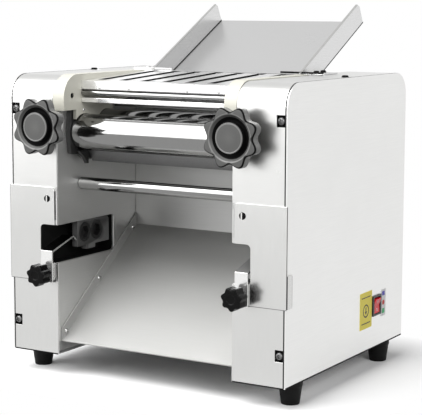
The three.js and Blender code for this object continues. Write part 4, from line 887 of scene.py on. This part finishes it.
def seen_rays(tree):
    """1 for a ray of the camera, of a reflection or through glass, otherwise 0."""
    path = tree.nodes.new("ShaderNodeLightPath")
    total = path.outputs["Is Camera Ray"]
    for kind in ("Is Glossy Ray", "Is Transmission Ray"):
        both = tree.nodes.new("ShaderNodeMath")
        both.operation = "MAXIMUM"
        tree.links.new(total, both.inputs[0])
        tree.links.new(path.outputs[kind], both.inputs[1])
        total = both.outputs["Value"]
    return total


def stage_floor():
    """A white round floor that keeps the shadow and runs out to the white of the backdrop."""
    bm = bmesh.new()
    bmesh.ops.create_circle(bm, cap_ends=True, cap_tris=False, segments=128, radius=FLOOR_REACH)
    mesh = bpy.data.meshes.new("floor")
    bm.to_mesh(mesh)
    bm.free()
    floor = bpy.data.objects.new("floor", mesh)
    scene.collection.objects.link(floor)
    mat = bpy.data.materials.new("floor_white")
    mat.use_nodes = True
    tree = mat.node_tree
    shader = tree.nodes["Principled BSDF"]
    shader.inputs["Roughness"].default_value = 0.9
    shader.inputs["Specular IOR Level"].default_value = 0.0
    tint = blend_colours(tree, seen_rays(tree), FLOOR_BOUNCE, FLOOR_SEEN)
    tree.links.new(tint, shader.inputs["Base Color"])
    beyond = tree.nodes.new("ShaderNodeTexCoord").outputs["Object"]
    for operation, value in (("ABSOLUTE", None), ("SUBTRACT", SHADED_HALF), ("MAXIMUM", (0.0, 0.0, 0.0))):
        step = tree.nodes.new("ShaderNodeVectorMath")
        step.operation = operation
        tree.links.new(beyond, step.inputs[0])
        if value:
            step.inputs[1].default_value = value
        beyond = step.outputs["Vector"]
    reach = tree.nodes.new("ShaderNodeVectorMath")
    reach.operation = "LENGTH"
    tree.links.new(beyond, reach.inputs[0])
    white = tree.nodes.new("ShaderNodeEmission")
    tree.links.new(seen_rays(tree), white.inputs["Strength"])
    mixed = tree.nodes.new("ShaderNodeMixShader")
    tree.links.new(value_range(tree, reach.outputs["Value"], 0.0, 1.0, *SHADED_EDGE), mixed.inputs["Fac"])
    tree.links.new(shader.outputs["BSDF"], mixed.inputs[1])
    tree.links.new(white.outputs["Emission"], mixed.inputs[2])
    tree.links.new(mixed.outputs["Shader"], tree.nodes["Material Output"].inputs["Surface"])
    mesh.materials.append(mat)


stage_floor()

world = bpy.data.worlds.new("studio")
scene.world = world
world.use_nodes = True
tree = world.node_tree
background = tree.nodes["Background"]
strength = value_range(tree, seen_rays(tree), WORLD_LIGHT, WORLD_SEEN, 0.0, 1.0)
tree.links.new(strength, background.inputs["Strength"])
background.inputs["Color"].default_value = (1.0, 1.0, 1.0, 1.0)


def lamp(name, place, target, size, power):
    data = bpy.data.lights.new(name, "AREA")
    data.shape = "RECTANGLE"
    data.size, data.size_y = size
    data.energy = power
    obj = bpy.data.objects.new(name, data)
    scene.collection.objects.link(obj)
    obj.location = place
    obj.rotation_euler = (Vector(target) - Vector(place)).to_track_quat("-Z", "Y").to_euler()


lamp("key_light", (-1.2, -1.72, 1.4), (0.0, -0.1, 0.28), (1.9, 2.4), 60)
lamp("top_light", (-0.6, -0.95, 2.0), (-0.6, 0.0, 0.2), (2.2, 1.5), 38)
lamp("side_light", (1.9, -1.2, 1.2), (0.0, 0.0, 0.2), (1.2, 1.2), 30)

# The camera's focal length and centre in pixels were fitted to the photograph's edges.
WIDTH, HEIGHT = 422, 415
FOCAL_PIXELS, CENTRE_X, CENTRE_Y = 1446.9, 204.46, 186.67
SENSOR_WIDTH = 36.0
camera_data = bpy.data.cameras.new("camera")
camera = bpy.data.objects.new("camera", camera_data)
scene.collection.objects.link(camera)
yaw, pitch, roll = math.radians(31.17), math.radians(-7.21), math.radians(0.16)
camera_data.sensor_width = SENSOR_WIDTH
camera_data.lens = FOCAL_PIXELS * SENSOR_WIDTH / WIDTH
camera_data.shift_x = (WIDTH / 2 - CENTRE_X) / WIDTH
camera_data.shift_y = (CENTRE_Y - HEIGHT / 2) / WIDTH
camera_data.clip_start = 0.05
camera_data.clip_end = 50.0
tilt = Matrix.Rotation(math.pi / 2 + pitch, 4, "X")
turn = Matrix.Rotation(yaw, 4, "Z") @ tilt @ Matrix.Rotation(roll, 4, "Z")
camera.rotation_euler = turn.to_euler()
camera.location = (0.8962, -1.5097, 0.4391)
scene.camera = camera

scene.view_settings.view_transform = "Standard"
